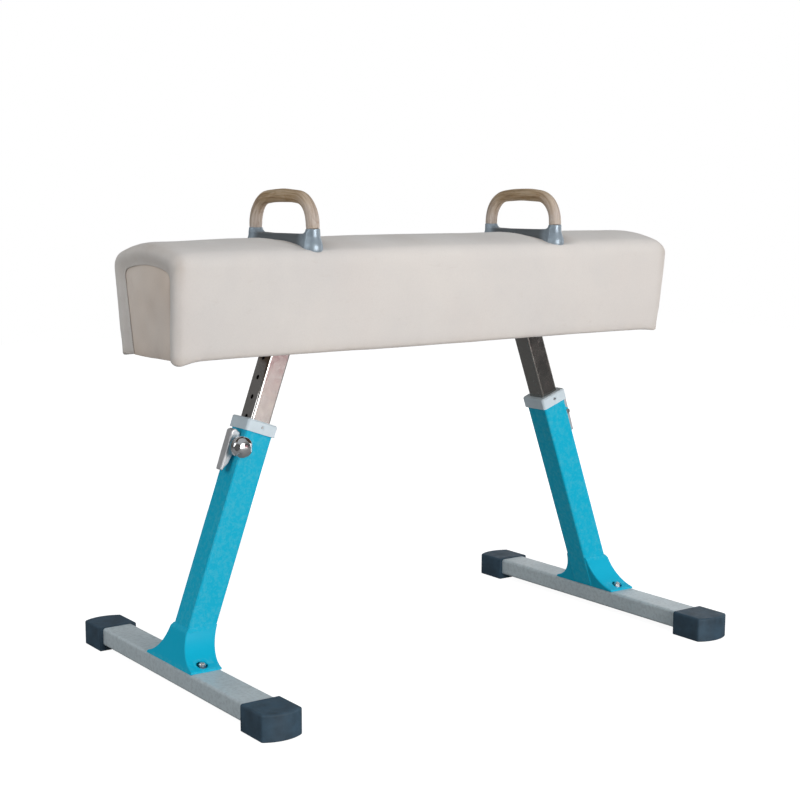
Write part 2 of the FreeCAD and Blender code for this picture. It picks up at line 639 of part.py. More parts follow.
    # ---- foot bolts: washer, domed hexagon head, shank; and their nuts inside the beam
    bolts, nuts = [], []
    for sg in (-1, 1):
        yy = S["bolt_y"] * sg
        z0 = zbase + t
        sh = cyl("Z", 6.0, 30, fx, yy, z0 - 30)
        wa = cyl("Z", 10.8, 1.6, fx, yy, z0)
        hd = new_body("FootBoltHead_%s_%d" % (side, sg + 1))
        pad(hd, sketch(hd, "XY", hexagon(18.0, fx, yy), offset=z0 + 1.6), 8.0, mid=False)
        dome = doc.addObject("Part::Sphere", "Dome")
        dome.Placement = FreeCAD.Placement(V(0, 0, 0), FreeCAD.Rotation())
        bind(dome, Radius=9.0)
        dome.setExpression("Placement.Base.x", q(fx).e)
        dome.setExpression("Placement.Base.y", q(yy).e)
        dome.setExpression("Placement.Base.z", (z0 + 6.5).e)
        bolts.append(fuse(sh, wa, hd, dome))
        nt = new_body("FootNut_%s_%d" % (side, sg + 1))
        pad(nt, sketch(nt, "XY", hexagon(18.0, fx, yy), offset=zbase - w - 10.0), 10.0, mid=False)
        nuts.append(cut(nt, cyl("Z", 6.0, 40, fx, yy, zbase - 40)))
    keep(group(*bolts), side + "_foot_bolts", FF)
    keep(group(*nuts), side + "_foot_nuts", FF)

# ================================================================ horse body
hb, ht = S["body_half_bottom"], S["body_half_top"]
zb0, zc, zs0 = S["body_bottom"], S["body_crown"], S["shoulder_level"]


def body_section(off):
    """Half section points of the padded body, set in by off: shoulder arc tangent to side and crown."""
    a = (hb.n - off, zb0.n)
    b = (ht.n - off, zs0.n)
    R1 = S["crown_radius"].n - off
    cz = zc.n - S["crown_radius"].n
    dx, dz = b[0] - a[0], b[1] - a[1]
    L = math.hypot(dx, dz)
    nx, nz = -dz / L, dx / L
    # shoulder circle: touches the side line at b and the crown circle from inside
    lo_r, hi_r = 5.0, 150.0
    for _ in range(80):
        r = (lo_r + hi_r) / 2
        c = (b[0] + nx * r, b[1] + nz * r)
        if math.hypot(c[0], c[1] - cz) + r > R1:
            hi_r = r
        else:
            lo_r = r
    c = (b[0] + nx * r, b[1] + nz * r)
    d = math.hypot(c[0], c[1] - cz)
    tpt = (c[0] + c[0] / d * r, c[1] + (c[1] - cz) / d * r)
    return a, b, r, tpt, R1


def body_solid(off, name, z_low):
    a, b, r, tpt, R1 = body_section(off)
    body = new_body(name)
    o = q(off)
    zl = q(z_low)
    slope = (ht - hb) / (zs0 - zb0)
    wl = hb - o + slope * (zl - zb0)
    pts = [(-wl, zl), (wl, zl), (ht - o, zs0, r, 1), (tpt[0], tpt[1], S["crown_radius"] - o, 1),
           (-tpt[0], tpt[1], r, 1), (-ht + o, zs0)]
    pad(body, sketch(body, "YZ", pts), S["body_length"] - o * 2)
    end = (S["body_length"].n - 2 * off) / 2
    body_fillet(body, S["rim_radius"].n - off,
                lambda e: abs(abs(e.CenterOfMass.x) - end) < 1e-3 and e.BoundBox.ZMax > z_low + 5)
    return body


skin = S["skin"].n
outer_body = body_solid(0.0, "BodyOuter", zb0.n)
foam_body = body_solid(skin, "BodyFoam", zb0.n + skin)
core_h, core_l = S["core_half"], S["core_half_length"]
deck_z = zb0 + S["skin"]
ply = S["ply"]
tb = S["top_board_level"]
tbh = S["top_board_half"]


def leg_holes(half, z0, z1):
    out = []
    for side in SIDES:
        b = box(-half, half, -half, half, z0, z1, "LegHole")
        out.append(moved(b, leg_frame(side)))
    return fuse(*out)


# ---- cover: leather shell with a lip turned under the edge
lip_open = box(-core_l + 30, core_l - 30, -core_h + 22, core_h - 22, zb0 - 1, deck_z, "LipOpening")
shell = cut(outer_body, foam_body, lip_open)
panel_plan = new_body("PanelPlan")
pts = [(-102, zb0 + 3), (102, zb0 + 3), (122, 1056, 26, 1), (104, 1078, 340, 1), (-104, 1078, 26, 1), (-122, 1056)]
pad(panel_plan, sketch(panel_plan, "YZ", pts), 2000)
doc.recompute()
end_l = S["body_length"] / 2
slot_l = common(panel_plan, box(-end_l - 1, -end_l + S["skin"], -150, 150, 800, 1200))
slot_r = common(panel_plan, box(end_l - S["skin"], end_l + 1, -150, 150, 800, 1200))
bolt_x = S["pommel_x"]
bolt_clear = fuse(*[cyl("Z", 5.3, 80, sx, sy, tb + 5) for sx in (-bolt_x, bolt_x) for sy in (-S["grip_leg"], S["grip_leg"])])
cover = cut(shell, fuse(slot_l, slot_r), bolt_clear)
keep(cover, "leather_cover")
for side, sg in (("left", -1), ("right", 1)):
    x0 = -end_l + 0.6 if sg < 0 else end_l - S["skin"]
    x1 = -end_l + S["skin"] if sg < 0 else end_l - 0.6
    keep(common(panel_plan, box(x0, x1, -150, 150, 800, 1200)), side + "_end_panel")

# ---- foam: closed shell round the core
cavity = fuse(box(-core_l, core_l, -core_h, core_h, zb0, tb - 30, "FoamCavity"),
              box(-core_l, core_l, -tbh - 2, tbh + 2, tb - 30, tb + ply, "FoamCavityTop"))
keep(cut(foam_body, cavity, bolt_clear), "foam_padding")

# ---- plywood core
deck = new_body("Deck")
pad(deck, sketch(deck, "XY", rect(-core_l, core_l, -core_h, core_h), offset=deck_z), ply, mid=False)
pilots = fuse(*[cyl("Z", 3.55, 24, sx, sy, deck_z + ply - 17) for sx in (-508, -338, 338, 508) for sy in (-54, 54)])
keep(cut(deck, leg_holes(S["inner_side"] / 2 + 0.5, 760, 940), pilots), "core_deck_board")
topb = new_body("TopBoard")
pad(topb, sketch(topb, "XY", rect(-core_l, core_l, -tbh, tbh), offset=tb), ply, mid=False)
keep(cut(topb, fuse(*[cyl("Z", 5.2, 40, sx, sy, tb - 10) for sx in (-bolt_x, bolt_x) for sy in (-S["grip_leg"], S["grip_leg"])])),
     "core_top_board")
for tag, sg in (("front", -1), ("back", 1)):
    y0, y1 = (-core_h, -core_h + ply) if sg < 0 else (core_h - ply, core_h)
    b = new_body("SideBoard_" + tag)
    pad(b, sketch(b, "XZ", rect(-core_l + ply, core_l - ply, deck_z + ply, tb), offset=-y1), ply, mid=False)
    keep(b, "core_%s_board" % tag)
ends = [box(-core_l, -core_l + ply, -core_h, core_h, deck_z + ply, tb), box(core_l - ply, core_l, -core_h, core_h, deck_z + ply, tb)]
keep(group(*ends), "core_end_boards")
ribs = []
for x in (-600, -210, 210, 600):
    ribs.append(cut(box(x - 9, x + 9, -core_h + ply, core_h - ply, deck_z + ply, tb), cyl("X", 35, 40, x - 20, 0, 990)))
keep(group(*ribs), "core_bulkheads")

# ---- bottom closing panel and its screws
bp = box(-core_l + 32, core_l - 32, -core_h + 24, core_h - 24, zb0, deck_z, "BottomPanel")
keep(cut(bp, leg_holes(S["inner_side"] / 2 + 1.5, 760, 940)), "bottom_panel")
scr = []
for x in (-730, -560, -250, 0, 250, 560, 730):
    for y in (-84, 84):
        scr.append(cone("Z", 4.0, 3.0, 1.2, x, y, zb0 - 1.2))
keep(group(*scr), "bottom_panel_screws")

# ---- leg socket fixings
xb = []
for side in SIDES:
    for z in (930, 1020):
        sh = cyl("Y", 5.0, 86, 0, -43, z)
        h1, h2 = cyl("Y", 8.5, 6, 0, -42, z), cyl("Y", 8.5, 6, 0, 36, z)
        xb.append(moved(fuse(sh, h1, h2), leg_frame(side)))
keep(group(*xb), "socket_cross_bolts")
fs = []
for side in SIDES:
    grp = [fuse(cyl("Z", 3.5, 22, sx, sy, deck_z + ply - 16), cyl("Z", 6.5, 4, sx, sy, deck_z + ply + 6))
           for sx in (-508, -338) for sy in (-54, 54)]
    fs.append(moved(group(*grp), end_frame(side)))
keep(group(*fs), "socket_flange_screws")

# ================================================================ pommels
gl_y, gz, gtop = S["grip_leg"], S["grip_base"], S["grip_crown"]
for side, sg in (("left", -1), ("right", 1)):
    px = S["pommel_x"] * sg
    # ---- base: follows the crown below, flat between the legs, rounded feet over the shoulders
    bb = new_body("Base_" + side)
    zl = S["base_level"]
    pts = [(-161, 1106), (161, 1106), (167, 1115), (168.4, 1126), (167, 1137), (162, 1147), (154, 1153), (140, 1157), (133, zl),
           (-133, zl), (-140, 1157), (-154, 1153), (-162, 1147), (-167, 1137), (-168.4, 1126), (-167, 1115)]
    prof = pad(bb, sketch(bb, "YZ", pts), 1200)
    hw, hq = S["base_width"] / 2, S["base_waist"] / 2
    plan = new_body("BasePlan_" + side)
    R = 28.2
    pts = [(px - hw, -141, R, 1), (px + hw, -141), (px + hw, -124), (px + hq, -100), (px + hq, 100), (px + hw, 124),
           (px + hw, 141, R, 1), (px - hw, 141), (px - hw, 124), (px - hq, 100), (px - hq, -100), (px - hw, -124)]
    pad(plan, sketch(plan, "XY", pts, offset=1000), 400, mid=False)
    saddle = common(bb, plan)
    fer = [fuse(cone("Z", 25.0, 18.6, 34, px, sy, 1132), cyl("Z", 18.3, gz - 1164, px, sy, 1164)) for sy in (-gl_y, gl_y)]
    base = cut(fuse(saddle, *fer), outer_body)
    sockets = fuse(*[cyl("Z", 11.0, 22, px, sy, gz - 20) for sy in (-gl_y, gl_y)])
    bolts_h = fuse(*[cyl("Z", 5.0, 60, px, sy, 1110) for sy in (-gl_y, gl_y)])
    keep(cut(base, sockets, bolts_h), side + "_pommel_base")

    # ---- grip: one round bar bent to an arch, with a tenon at each end
    doc.recompute()
    Rt, yt, rs = S["grip_top_radius"].n, S["grip_top_half"].n, S["grip_bend"].n
    an = math.radians(S["grip_splay"].n)
    sl = math.asin(yt / Rt)
    z1 = gtop.n - (Rt - math.sqrt(Rt * Rt - yt * yt))
    c = (yt - rs * math.sin(sl), z1 - rs * math.cos(sl))
    e = (c[0] + rs * math.cos(an), c[1] + rs * math.sin(an))
    foot = (e[0] + (e[1] - gz.n) * math.tan(an), gz.n)
    shift = gl_y.n - foot[0]
    X = px.n

    def P(y, z):
        return V(X, y, z)

    def arc_pt(ang):
        return (c[0] + shift + rs * math.cos(ang), c[1] + rs * math.sin(ang))

    p0 = (foot[0] + shift, foot[1])
    p1 = (e[0] + shift, e[1])
    pm = arc_pt((an + math.pi / 2 - sl) / 2)
    p2 = arc_pt(math.pi / 2 - sl)
    yt2 = p2[0]
    top_z = gtop.n
    edges = [Part.LineSegment(P(-p0[0], p0[1]), P(-p1[0], p1[1])).toShape(),
             Part.Arc(P(-p1[0], p1[1]), P(-pm[0], pm[1]), P(-p2[0], p2[1])).toShape(),
             Part.Arc(P(-p2[0], p2[1]), P(0, p2[1] + math.tan(sl / 2) * yt2), P(p2[0], p2[1])).toShape(),
             Part.Arc(P(p2[0], p2[1]), P(pm[0], pm[1]), P(p1[0], p1[1])).toShape(),
             Part.LineSegment(P(p1[0], p1[1]), P(p0[0], p0[1])).toShape()]
    wire = Part.Wire(edges)
    d0 = edges[0].tangentAt(edges[0].FirstParameter)
    circ = Part.Wire([Part.makeCircle(S["grip_dia"].n / 2, P(-p0[0], p0[1]), d0)])
    bar = wire.makePipeShell([circ], True, True)
    trim = Part.makeBox(200, 500, 100, V(X - 100, -250, gz.n - 100))
    bar = bar.cut(trim)
    tenons = [Part.makeCylinder(11.0, 24, V(X, sy, gz.n - 18)) for sy in (-p0[0], p0[0])]
    for tn in tenons:
        bar = bar.fuse(tn)
    bar = bar.removeSplitter()
    for sy in (-p0[0], p0[0]):
        bar = bar.cut(Part.makeCylinder(5.1, 20, V(X, sy, gz.n - 23 + 0.0)))
    g = doc.addObject("Part::Feature", "Grip_" + side)
    g.Shape = bar
    keep(g, side + "_pommel_grip")

# ---- pommel bolts, anchor plates and nuts
pbolts, plates, pnuts = [], [], []
for sx in (-bolt_x, bolt_x):
    for k, sy in enumerate((-gl_y, gl_y)):
        pbolts.append(cyl("Z", 5.0, 104, sx, sy, 1068))
        y0, y1 = (sy - 10, sy + 14) if k == 0 else (sy - 14, sy + 10)
        plates.append(cut(box(sx - 25, sx + 25, y0, y1, tb - 6, tb), cyl("Z", 5.0, 20, sx, sy, tb - 10)))
        nb = new_body("PommelNut")
        pad(nb, sketch(nb, "XY", hexagon(17.0, sx, sy), offset=tb - 6 - 9), 9, mid=False)
        pnuts.append(cut(nb, cyl("Z", 5.0, 20, sx, sy, tb - 20)))
keep(group(*pbolts), "pommel_bolts")
keep(group(*plates), "pommel_anchor_plates")
keep(group(*pnuts), "pommel_nuts")

# ================================================================ write
doc.recompute()
bad = [o.Label for o in doc.Objects if any(s in ("Invalid", "Error") for s in o.State)]
if bad:
    raise RuntimeError("failed objects: %s" % bad)
os.makedirs("parts", exist_ok=True)
for label, obj in nodes.items():
    sh = obj.Shape
    if sh.isNull() or not sh.isValid() or not sh.Solids:
        raise RuntimeError("bad shape: " + label)
    sh.exportStep(os.path.join("parts", label + ".step"))
    b = sh.BoundBox
    print("%-26s solids %2d vol %9.1f cm3  x %.1f..%.1f y %.1f..%.1f z %.1f..%.1f" % (
        label, len(sh.Solids), sh.Volume / 1000, b.XMin, b.XMax, b.YMin, b.YMax, b.ZMin, b.ZMax))
print(len(nodes), "nodes")
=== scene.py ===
import bpy
import math
import numpy as np
from mathutils import Matrix, Vector


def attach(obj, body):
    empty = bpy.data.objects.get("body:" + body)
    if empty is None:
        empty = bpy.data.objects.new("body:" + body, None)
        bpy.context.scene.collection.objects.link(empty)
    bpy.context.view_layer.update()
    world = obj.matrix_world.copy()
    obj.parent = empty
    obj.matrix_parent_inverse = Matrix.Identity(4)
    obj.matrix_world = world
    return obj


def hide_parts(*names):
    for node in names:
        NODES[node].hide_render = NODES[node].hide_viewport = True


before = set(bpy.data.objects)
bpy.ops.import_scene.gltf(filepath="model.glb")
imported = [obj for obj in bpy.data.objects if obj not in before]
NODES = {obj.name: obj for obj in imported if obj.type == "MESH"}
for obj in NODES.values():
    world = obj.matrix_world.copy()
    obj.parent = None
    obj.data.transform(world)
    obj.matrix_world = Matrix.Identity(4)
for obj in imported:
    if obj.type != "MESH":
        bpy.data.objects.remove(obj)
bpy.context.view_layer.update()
scene = bpy.context.scene
scene.view_settings.view_transform = "Standard"
scene.view_settings.look = "None"
MM = 0.001

# ------------------------------------------------------------------ camera, light, floor
cam_data = bpy.data.cameras.new("camera")
cam_data.sensor_width = 36.0
cam_data.lens = 36.0 * 1527.11 / 800.0
cam_data.shift_x = 0.075
cam_data.shift_y = 0.04375
cam_data.clip_start, cam_data.clip_end = 0.05, 60.0
cam = bpy.data.objects.new("camera", cam_data)
scene.collection.objects.link(cam)
yaw, pitch, roll = 0.59046, 0.1557, -0.00249
fwd = Vector((math.sin(yaw) * math.cos(pitch), math.cos(yaw) * math.cos(pitch), -math.sin(pitch)))
rgt = Vector((math.cos(yaw), -math.sin(yaw), 0.0))
upv = rgt.cross(fwd)
r2 = rgt * math.cos(roll) + upv * math.sin(roll)
u2 = -rgt * math.sin(roll) + upv * math.cos(roll)
m = Matrix.Identity(4)
for i in range(3):
    m[i][0], m[i][1], m[i][2] = r2[i], u2[i], -fwd[i]
m[0][3], m[1][3], m[2][3] = -2.518435, -3.413002, 1.259537
cam.matrix_world = m
scene.camera = cam


def look_at(ob, target):
    d = Vector(target) - ob.location
    ob.rotation_mode = "QUATERNION"
    ob.rotation_quaternion = d.to_track_quat("-Z", "Y")


def area(name, loc, target, size, size_y, watts, color=(1, 1, 1)):
    d = bpy.data.lights.new(name, "AREA")
    d.shape = "RECTANGLE"
    d.size, d.size_y = size, size_y
    d.energy = watts
    d.color = color
    o = bpy.data.objects.new(name, d)
    scene.collection.objects.link(o)
    o.location = loc
    look_at(o, target)
    return o


area("key", (0.15, -5.5, 1.32), (0.0, 0.0, 0.80), 2.8, 2.4, 203, (1.0, 0.985, 0.97))
area("fill", (-4.2, 0.4, 2.0), (0.0, 0.0, 0.7), 2.0, 2.0, 42, (0.96, 0.985, 1.0))
area("top", (0.3, 0.6, 4.8), (0.0, 0.0, 0.9), 3.5, 2.2, 19, (0.97, 0.99, 1.0))

world = bpy.data.worlds.new("studio")
scene.world = world
world.use_nodes = True
wn = world.node_tree
wn.nodes.clear()
w_out = wn.nodes.new("ShaderNodeOutputWorld")
w_mix = wn.nodes.new("ShaderNodeMixShader")
w_path = wn.nodes.new("ShaderNodeLightPath")
w_cam = wn.nodes.new("ShaderNodeBackground")
w_env = wn.nodes.new("ShaderNodeBackground")
w_cam.inputs[0].default_value = (1, 1, 1, 1)
w_cam.inputs[1].default_value = 1.0
w_tc = wn.nodes.new("ShaderNodeTexCoord")
w_sep = wn.nodes.new("ShaderNodeSeparateXYZ")
w_ramp = wn.nodes.new("ShaderNodeValToRGB")
w_map = wn.nodes.new("ShaderNodeMapRange")
w_map.inputs["From Min"].default_value = -1.0
w_map.inputs["From Max"].default_value = 1.0
els = w_ramp.color_ramp.elements
els[0].position, els[0].color = 0.0, (0.16, 0.155, 0.15, 1)
els[1].position, els[1].color = 1.0, (0.40, 0.42, 0.44, 1)
for pos, c in ((0.45, (0.10, 0.097, 0.095, 1)), (0.56, (0.085, 0.082, 0.08, 1)), (0.68, (0.20, 0.20, 0.20, 1)), (0.82, (0.35, 0.36, 0.37, 1))):
    e = els.new(pos)
    e.color = c
wn.links.new(w_tc.outputs["Generated"], w_sep.inputs[0])
wn.links.new(w_sep.outputs["Z"], w_map.inputs["Value"])
wn.links.new(w_map.outputs["Result"], w_ramp.inputs["Fac"])
wn.links.new(w_ramp.outputs["Color"], w_env.inputs["Color"])
w_env.inputs[1].default_value = 1.0
wn.links.new(w_path.outputs["Is Camera Ray"], w_mix.inputs[0])
wn.links.new(w_env.outputs[0], w_mix.inputs[1])
wn.links.new(w_cam.outputs[0], w_mix.inputs[2])
wn.links.new(w_mix.outputs[0], w_out.inputs[0])


# ------------------------------------------------------------------ node helpers
class Mat:
    """A node material built in a few calls."""

    def __init__(self, name):
        self.m = bpy.data.materials.new(name)
        self.m.use_nodes = True
        self.t = self.m.node_tree
        self.t.nodes.clear()
        self.out = self.t.nodes.new("ShaderNodeOutputMaterial")
        self.b = self.t.nodes.new("ShaderNodeBsdfPrincipled")
        self.t.links.new(self.b.outputs[0], self.out.inputs[0])
        self._obj = None

    def set(self, **kw):
        for k, v in kw.items():
            self.b.inputs[k.replace("_", " ")].default_value = v
        return self

    def node(self, kind, inputs=None, **props):
        n = self.t.nodes.new(kind)
        for k, v in props.items():
            setattr(n, k, v)
        for k, v in (inputs or {}).items():
            s = n.inputs[k]
            if isinstance(v, bpy.types.NodeSocket):
                self.t.links.new(v, s)
            else:
                s.default_value = v
        return n

    def obj(self):
        if self._obj is None:
            self._obj = self.node("ShaderNodeTexCoord").outputs["Object"]
        return self._obj

    def attr(self, name, out="Fac"):
        return self.node("ShaderNodeAttribute", attribute_name=name).outputs[out]

    def scaled(self, vec, s):
        return self.node("ShaderNodeVectorMath", {0: vec, 1: s}, operation="MULTIPLY").outputs[0]

    def noise(self, scale, detail=3.0, rough=0.55, vec=None, dist=0.0):
        return self.node("ShaderNodeTexNoise", {"Vector": vec or self.obj(), "Scale": scale, "Detail": detail, "Roughness": rough,
                                                "Distortion": dist}).outputs["Fac"]

    def voronoi(self, scale, vec=None, feature="F1", rnd=1.0):
        return self.node("ShaderNodeTexVoronoi", {"Vector": vec or self.obj(), "Scale": scale, "Randomness": rnd}, feature=feature).outputs["Distance"]

    def ramp(self, fac, stops, interp="LINEAR"):
        n = self.node("ShaderNodeValToRGB", {"Fac": fac})
        r = n.color_ramp
        r.interpolation = interp
        while len(r.elements) > len(stops):
            r.elements.remove(r.elements[-1])
        while len(r.elements) < len(stops):
            r.elements.new(0.5)
        for e, (p, c) in zip(r.elements, stops):
            e.position = p
            e.color = (c, c, c, 1) if isinstance(c, (int, float)) else (*c, 1)
        return n.outputs["Color"]

    def mix(self, fac, a, b, blend="MIX"):
        n = self.node("ShaderNodeMix", data_type="RGBA", blend_type=blend)
        for s, v in (("Factor_Float", fac), ("A_Color", a), ("B_Color", b)):
            sock = next(i for i in n.inputs if i.identifier == s)
            if isinstance(v, bpy.types.NodeSocket):
                self.t.links.new(v, sock)
            else:
                sock.default_value = v if isinstance(v, (int, float)) else (*v, 1)
        return next(o for o in n.outputs if o.identifier == "Result_Color")

    def math(self, op, a, b=0.0, clamp=False):
        n = self.node("ShaderNodeMath", {0: a, 1: b}, operation=op)
        n.use_clamp = clamp
        return n.outputs[0]

    def range(self, v, a, b, c, d):
        return self.node("ShaderNodeMapRange", {"Value": v, "From Min": a, "From Max": b, "To Min": c, "To Max": d}).outputs["Result"]

    def color(self, sock):
        self.t.links.new(sock, self.b.inputs["Base Color"])
        return self

    def rough(self, sock):
        self.t.links.new(sock, self.b.inputs["Roughness"])
        return self

    def bump(self, height, strength, dist=0.001, base=None):
        ins = {"Height": height, "Strength": strength, "Distance": dist}
        if base is not None:
            ins["Normal"] = base
        return self.node("ShaderNodeBump", ins).outputs["Normal"]

    def normal(self, sock):
        self.t.links.new(sock, self.b.inputs["Normal"])
        return self


def srgb(r, g, b):
    out = []
    for v in (r, g, b):
        v /= 255.0
        out.append(v / 12.92 if v <= 0.04045 else ((v + 0.055) / 1.055) ** 2.4)
    return tuple(out)


# ------------------------------------------------------------------ materials
def leather(name, light, dark, warm, grime_and_shade_col, rough=0.72, sheen=0.15, grain=1.0):
    a = Mat(name)
    broad = a.ramp(a.noise(2.6, 4.0, 0.6), [(0.35, 0.0), (0.68, 1.0)])
    c = a.mix(broad, light, dark)
    tint = a.ramp(a.noise(5.2, 3.0, 0.55, vec=a.scaled(a.obj(), (1.0, 1.0, 0.7))), [(0.42, 0.0), (0.75, 1.0)])
    c = a.mix(a.math("MULTIPLY", tint, 0.55), c, warm)
    fine = a.noise(240.0, 5.0, 0.65)
    c = a.mix(a.math("MULTIPLY", a.ramp(fine, [(0.3, 1.0), (0.62, 0.0)]), 0.10), c, tuple(v * 0.72 for v in dark))
    scuffs = a.ramp(a.noise(34.0, 6.0, 0.7, vec=a.scaled(a.obj(), (0.45, 1.0, 1.0)), dist=0.6), [(0.60, 0.0), (0.74, 1.0)])
    c = a.mix(a.math("MULTIPLY", scuffs, 0.10), c, grime_and_shade_col)
    # Per-vertex darkening towards the dark colour. Part is real dirt. Part is painted shade along the hem, on the rim
    # by the seam, on the top, round the pommel bases and in the end panels' seam groove.
    grime_and_shade = a.math("MULTIPLY", a.attr("grime_and_shade"), a.range(a.noise(22.0, 4.0, 0.6), 0.3, 0.7, 0.55, 1.1), clamp=True)
    c = a.mix(grime_and_shade, c, grime_and_shade_col)
    a.color(c)
    pores = a.voronoi(620.0, feature="F1")
    creases = a.noise(150.0, 6.0, 0.62, dist=0.4)
    h = a.math("ADD", a.math("MULTIPLY", pores, 0.45), creases)
    n1 = a.bump(h, 0.28 * grain, 0.0006)
    n2 = a.bump(a.noise(1400.0, 2.0, 0.5), 0.20 * grain, 0.0003, base=n1)
    a.normal(n2)
    a.rough(a.range(a.noise(60.0, 4.0), 0.3, 0.7, rough - 0.08, rough + 0.10))
    a.set(Sheen_Weight=sheen, Sheen_Roughness=0.5, Specular_IOR_Level=0.35)
    return a.m


def painted(name, base, dark, chip, rough=0.34, coat=0.25, orange=0.12, metallic=0.0, spec=0.5, blotch=1.0, wear=1.0):
    a = Mat(name)
    c = a.mix(a.math("MULTIPLY", a.ramp(a.noise(7.0, 3.0), [(0.35, 0.0), (0.7, 1.0)]), blotch), base, dark)
    dust = a.ramp(a.noise(420.0, 2.0, 0.6), [(0.66, 0.0), (0.78, 1.0)])
    c = a.mix(a.math("MULTIPLY", dust, 0.10 * wear), c, chip)
    scr = a.ramp(a.noise(55.0, 6.0, 0.75, vec=a.scaled(a.obj(), (1.0, 1.0, 0.25)), dist=0.8), [(0.66, 0.0), (0.72, 1.0)])
    c = a.mix(a.math("MULTIPLY", scr, 0.07 * wear), c, chip)
    point = a.node("ShaderNodeNewGeometry").outputs["Pointiness"]
    edge = a.ramp(point, [(0.515, 0.0), (0.56, 1.0)])
    edge = a.math("MULTIPLY", edge, a.ramp(a.noise(90.0, 4.0, 0.7), [(0.45, 0.0), (0.65, 1.0)]))
    c = a.mix(a.math("MULTIPLY", edge, 0.35), c, chip)
    a.color(c)
    peel = a.noise(330.0, 2.0, 0.5)
    a.normal(a.bump(peel, orange, 0.0004))
    a.rough(a.range(a.noise(18.0, 4.0), 0.3, 0.7, rough - 0.05, rough + 0.07))
    a.set(Coat_Weight=coat, Coat_Roughness=0.18, Metallic=metallic, Specular_IOR_Level=spec)
    return a.m


def bare_metal(name, base, dark, rough, streak=(1.0, 1.0, 0.06), streak_scale=300.0, amount=0.35, stain=None, stain_amt=0.0, bump=0.08, metallic=1.0):
    a = Mat(name)
    st = a.noise(streak_scale, 4.0, 0.6, vec=a.scaled(a.obj(), streak))
    c = a.mix(a.math("MULTIPLY", a.ramp(st, [(0.35, 0.0), (0.65, 1.0)]), amount), base, dark)
    if stain is not None:
        blot = a.ramp(a.noise(16.0, 5.0, 0.65, dist=0.5), [(0.45, 0.0), (0.68, 1.0)])
        c = a.mix(a.math("MULTIPLY", blot, stain_amt), c, stain)
    a.color(c)
    a.rough(a.range(a.noise(45.0, 4.0, 0.6), 0.3, 0.7, max(rough - 0.05, 0.02), rough + 0.08))
    a.normal(a.bump(st, bump, 0.0003))
    a.set(Metallic=metallic)
    return a.m


def plastic(name, base, dark, rough=0.45, grain=0.10, scale=500.0, spec=0.4):
    a = Mat(name)
    c = a.mix(a.ramp(a.noise(26.0, 4.0), [(0.35, 0.0), (0.7, 1.0)]), base, dark)
    rub = a.ramp(a.noise(75.0, 6.0, 0.7), [(0.60, 0.0), (0.72, 1.0)])
    c = a.mix(a.math("MULTIPLY", rub, 0.15), c, tuple(v * 0.7 for v in dark))
    a.color(c)
    a.normal(a.bump(a.noise(scale, 3.0, 0.6), grain, 0.0003))
    a.rough(a.range(a.noise(30.0, 4.0), 0.3, 0.7, rough - 0.06, rough + 0.08))
    a.set(Specular_IOR_Level=spec)
    return a.m


def wood_grip(name):
    a = Mat(name)
    g = a.attr("grain", "Vector")
    along = a.attr("along")
    long1 = a.noise(1.0, 6.0, 0.62, vec=a.scaled(g, (9.0, 210.0, 210.0)), dist=0.5)
    long2 = a.noise(1.0, 5.0, 0.6, vec=a.scaled(g, (22.0, 620.0, 620.0)), dist=0.3)
    patch = a.noise(1.0, 4.0, 0.6, vec=a.scaled(g, (26.0, 40.0, 40.0)), dist=0.9)
    c = a.ramp(long1, [(0.28, srgb(122, 96, 68)), (0.46, srgb(178, 151, 118)), (0.60, srgb(198, 175, 146)), (0.78, srgb(146, 120, 90))])
    pale = a.ramp(long1, [(0.30, srgb(164, 148, 136)), (0.50, srgb(206, 194, 186)), (0.72, srgb(222, 213, 205))])
    # paler towards the legs of the bar, in patches
    pale_to_legs = a.ramp(along, [(0.42, 0.0), (0.86, 1.0)])
    pale_to_legs = a.math("MULTIPLY", pale_to_legs, a.range(patch, 0.35, 0.65, 0.55, 1.0))
    c = a.mix(pale_to_legs, c, pale)
    ochre = a.ramp(patch, [(0.56, 0.0), (0.70, 1.0)])
    c = a.mix(a.math("MULTIPLY", ochre, 0.5), c, srgb(150, 112, 66))
    pores = a.ramp(long2, [(0.30, 1.0), (0.42, 0.0)])
    c = a.mix(a.math("MULTIPLY", pores, 0.62), c, srgb(84, 64, 44))
    green = a.ramp(a.noise(1.0, 3.0, 0.5, vec=a.scaled(g, (14.0, 60.0, 60.0))), [(0.60, 0.0), (0.75, 1.0)])
    c = a.mix(a.math("MULTIPLY", green, 0.35), c, srgb(140, 138, 116))
    a.color(c)
    n = a.bump(long2, 0.35, 0.0004)
    n = a.bump(long1, 0.18, 0.0006, base=n)
    a.normal(n)
    a.rough(a.range(long1, 0.3, 0.7, 0.48, 0.66))
    a.set(Specular_IOR_Level=0.35)
    return a.m


def plywood(name, dark=False):
    a = Mat(name)
    v = a.obj()
    layers = a.node("ShaderNodeTexWave", {"Vector": v, "Scale": 58.0, "Distortion": 0.6, "Detail": 2.0, "Detail Scale": 1.5},
                    bands_direction="Z").outputs["Fac"]
    grain = a.noise(1.0, 5.0, 0.6, vec=a.scaled(v, (14.0, 240.0, 240.0)), dist=0.4)
    lo, hi = (srgb(96, 72, 50), srgb(138, 108, 78)) if dark else (srgb(168, 128, 84), srgb(206, 170, 122))
    c = a.mix(a.ramp(grain, [(0.35, 0.0), (0.65, 1.0)]), lo, hi)
    c = a.mix(a.math("MULTIPLY", a.ramp(layers, [(0.4, 0.0), (0.6, 1.0)]), 0.18), c, srgb(110, 78, 48))
    a.color(c)
    a.normal(a.bump(grain, 0.3, 0.0005))
    a.rough(a.range(grain, 0.3, 0.7, 0.62, 0.8))
    return a.m


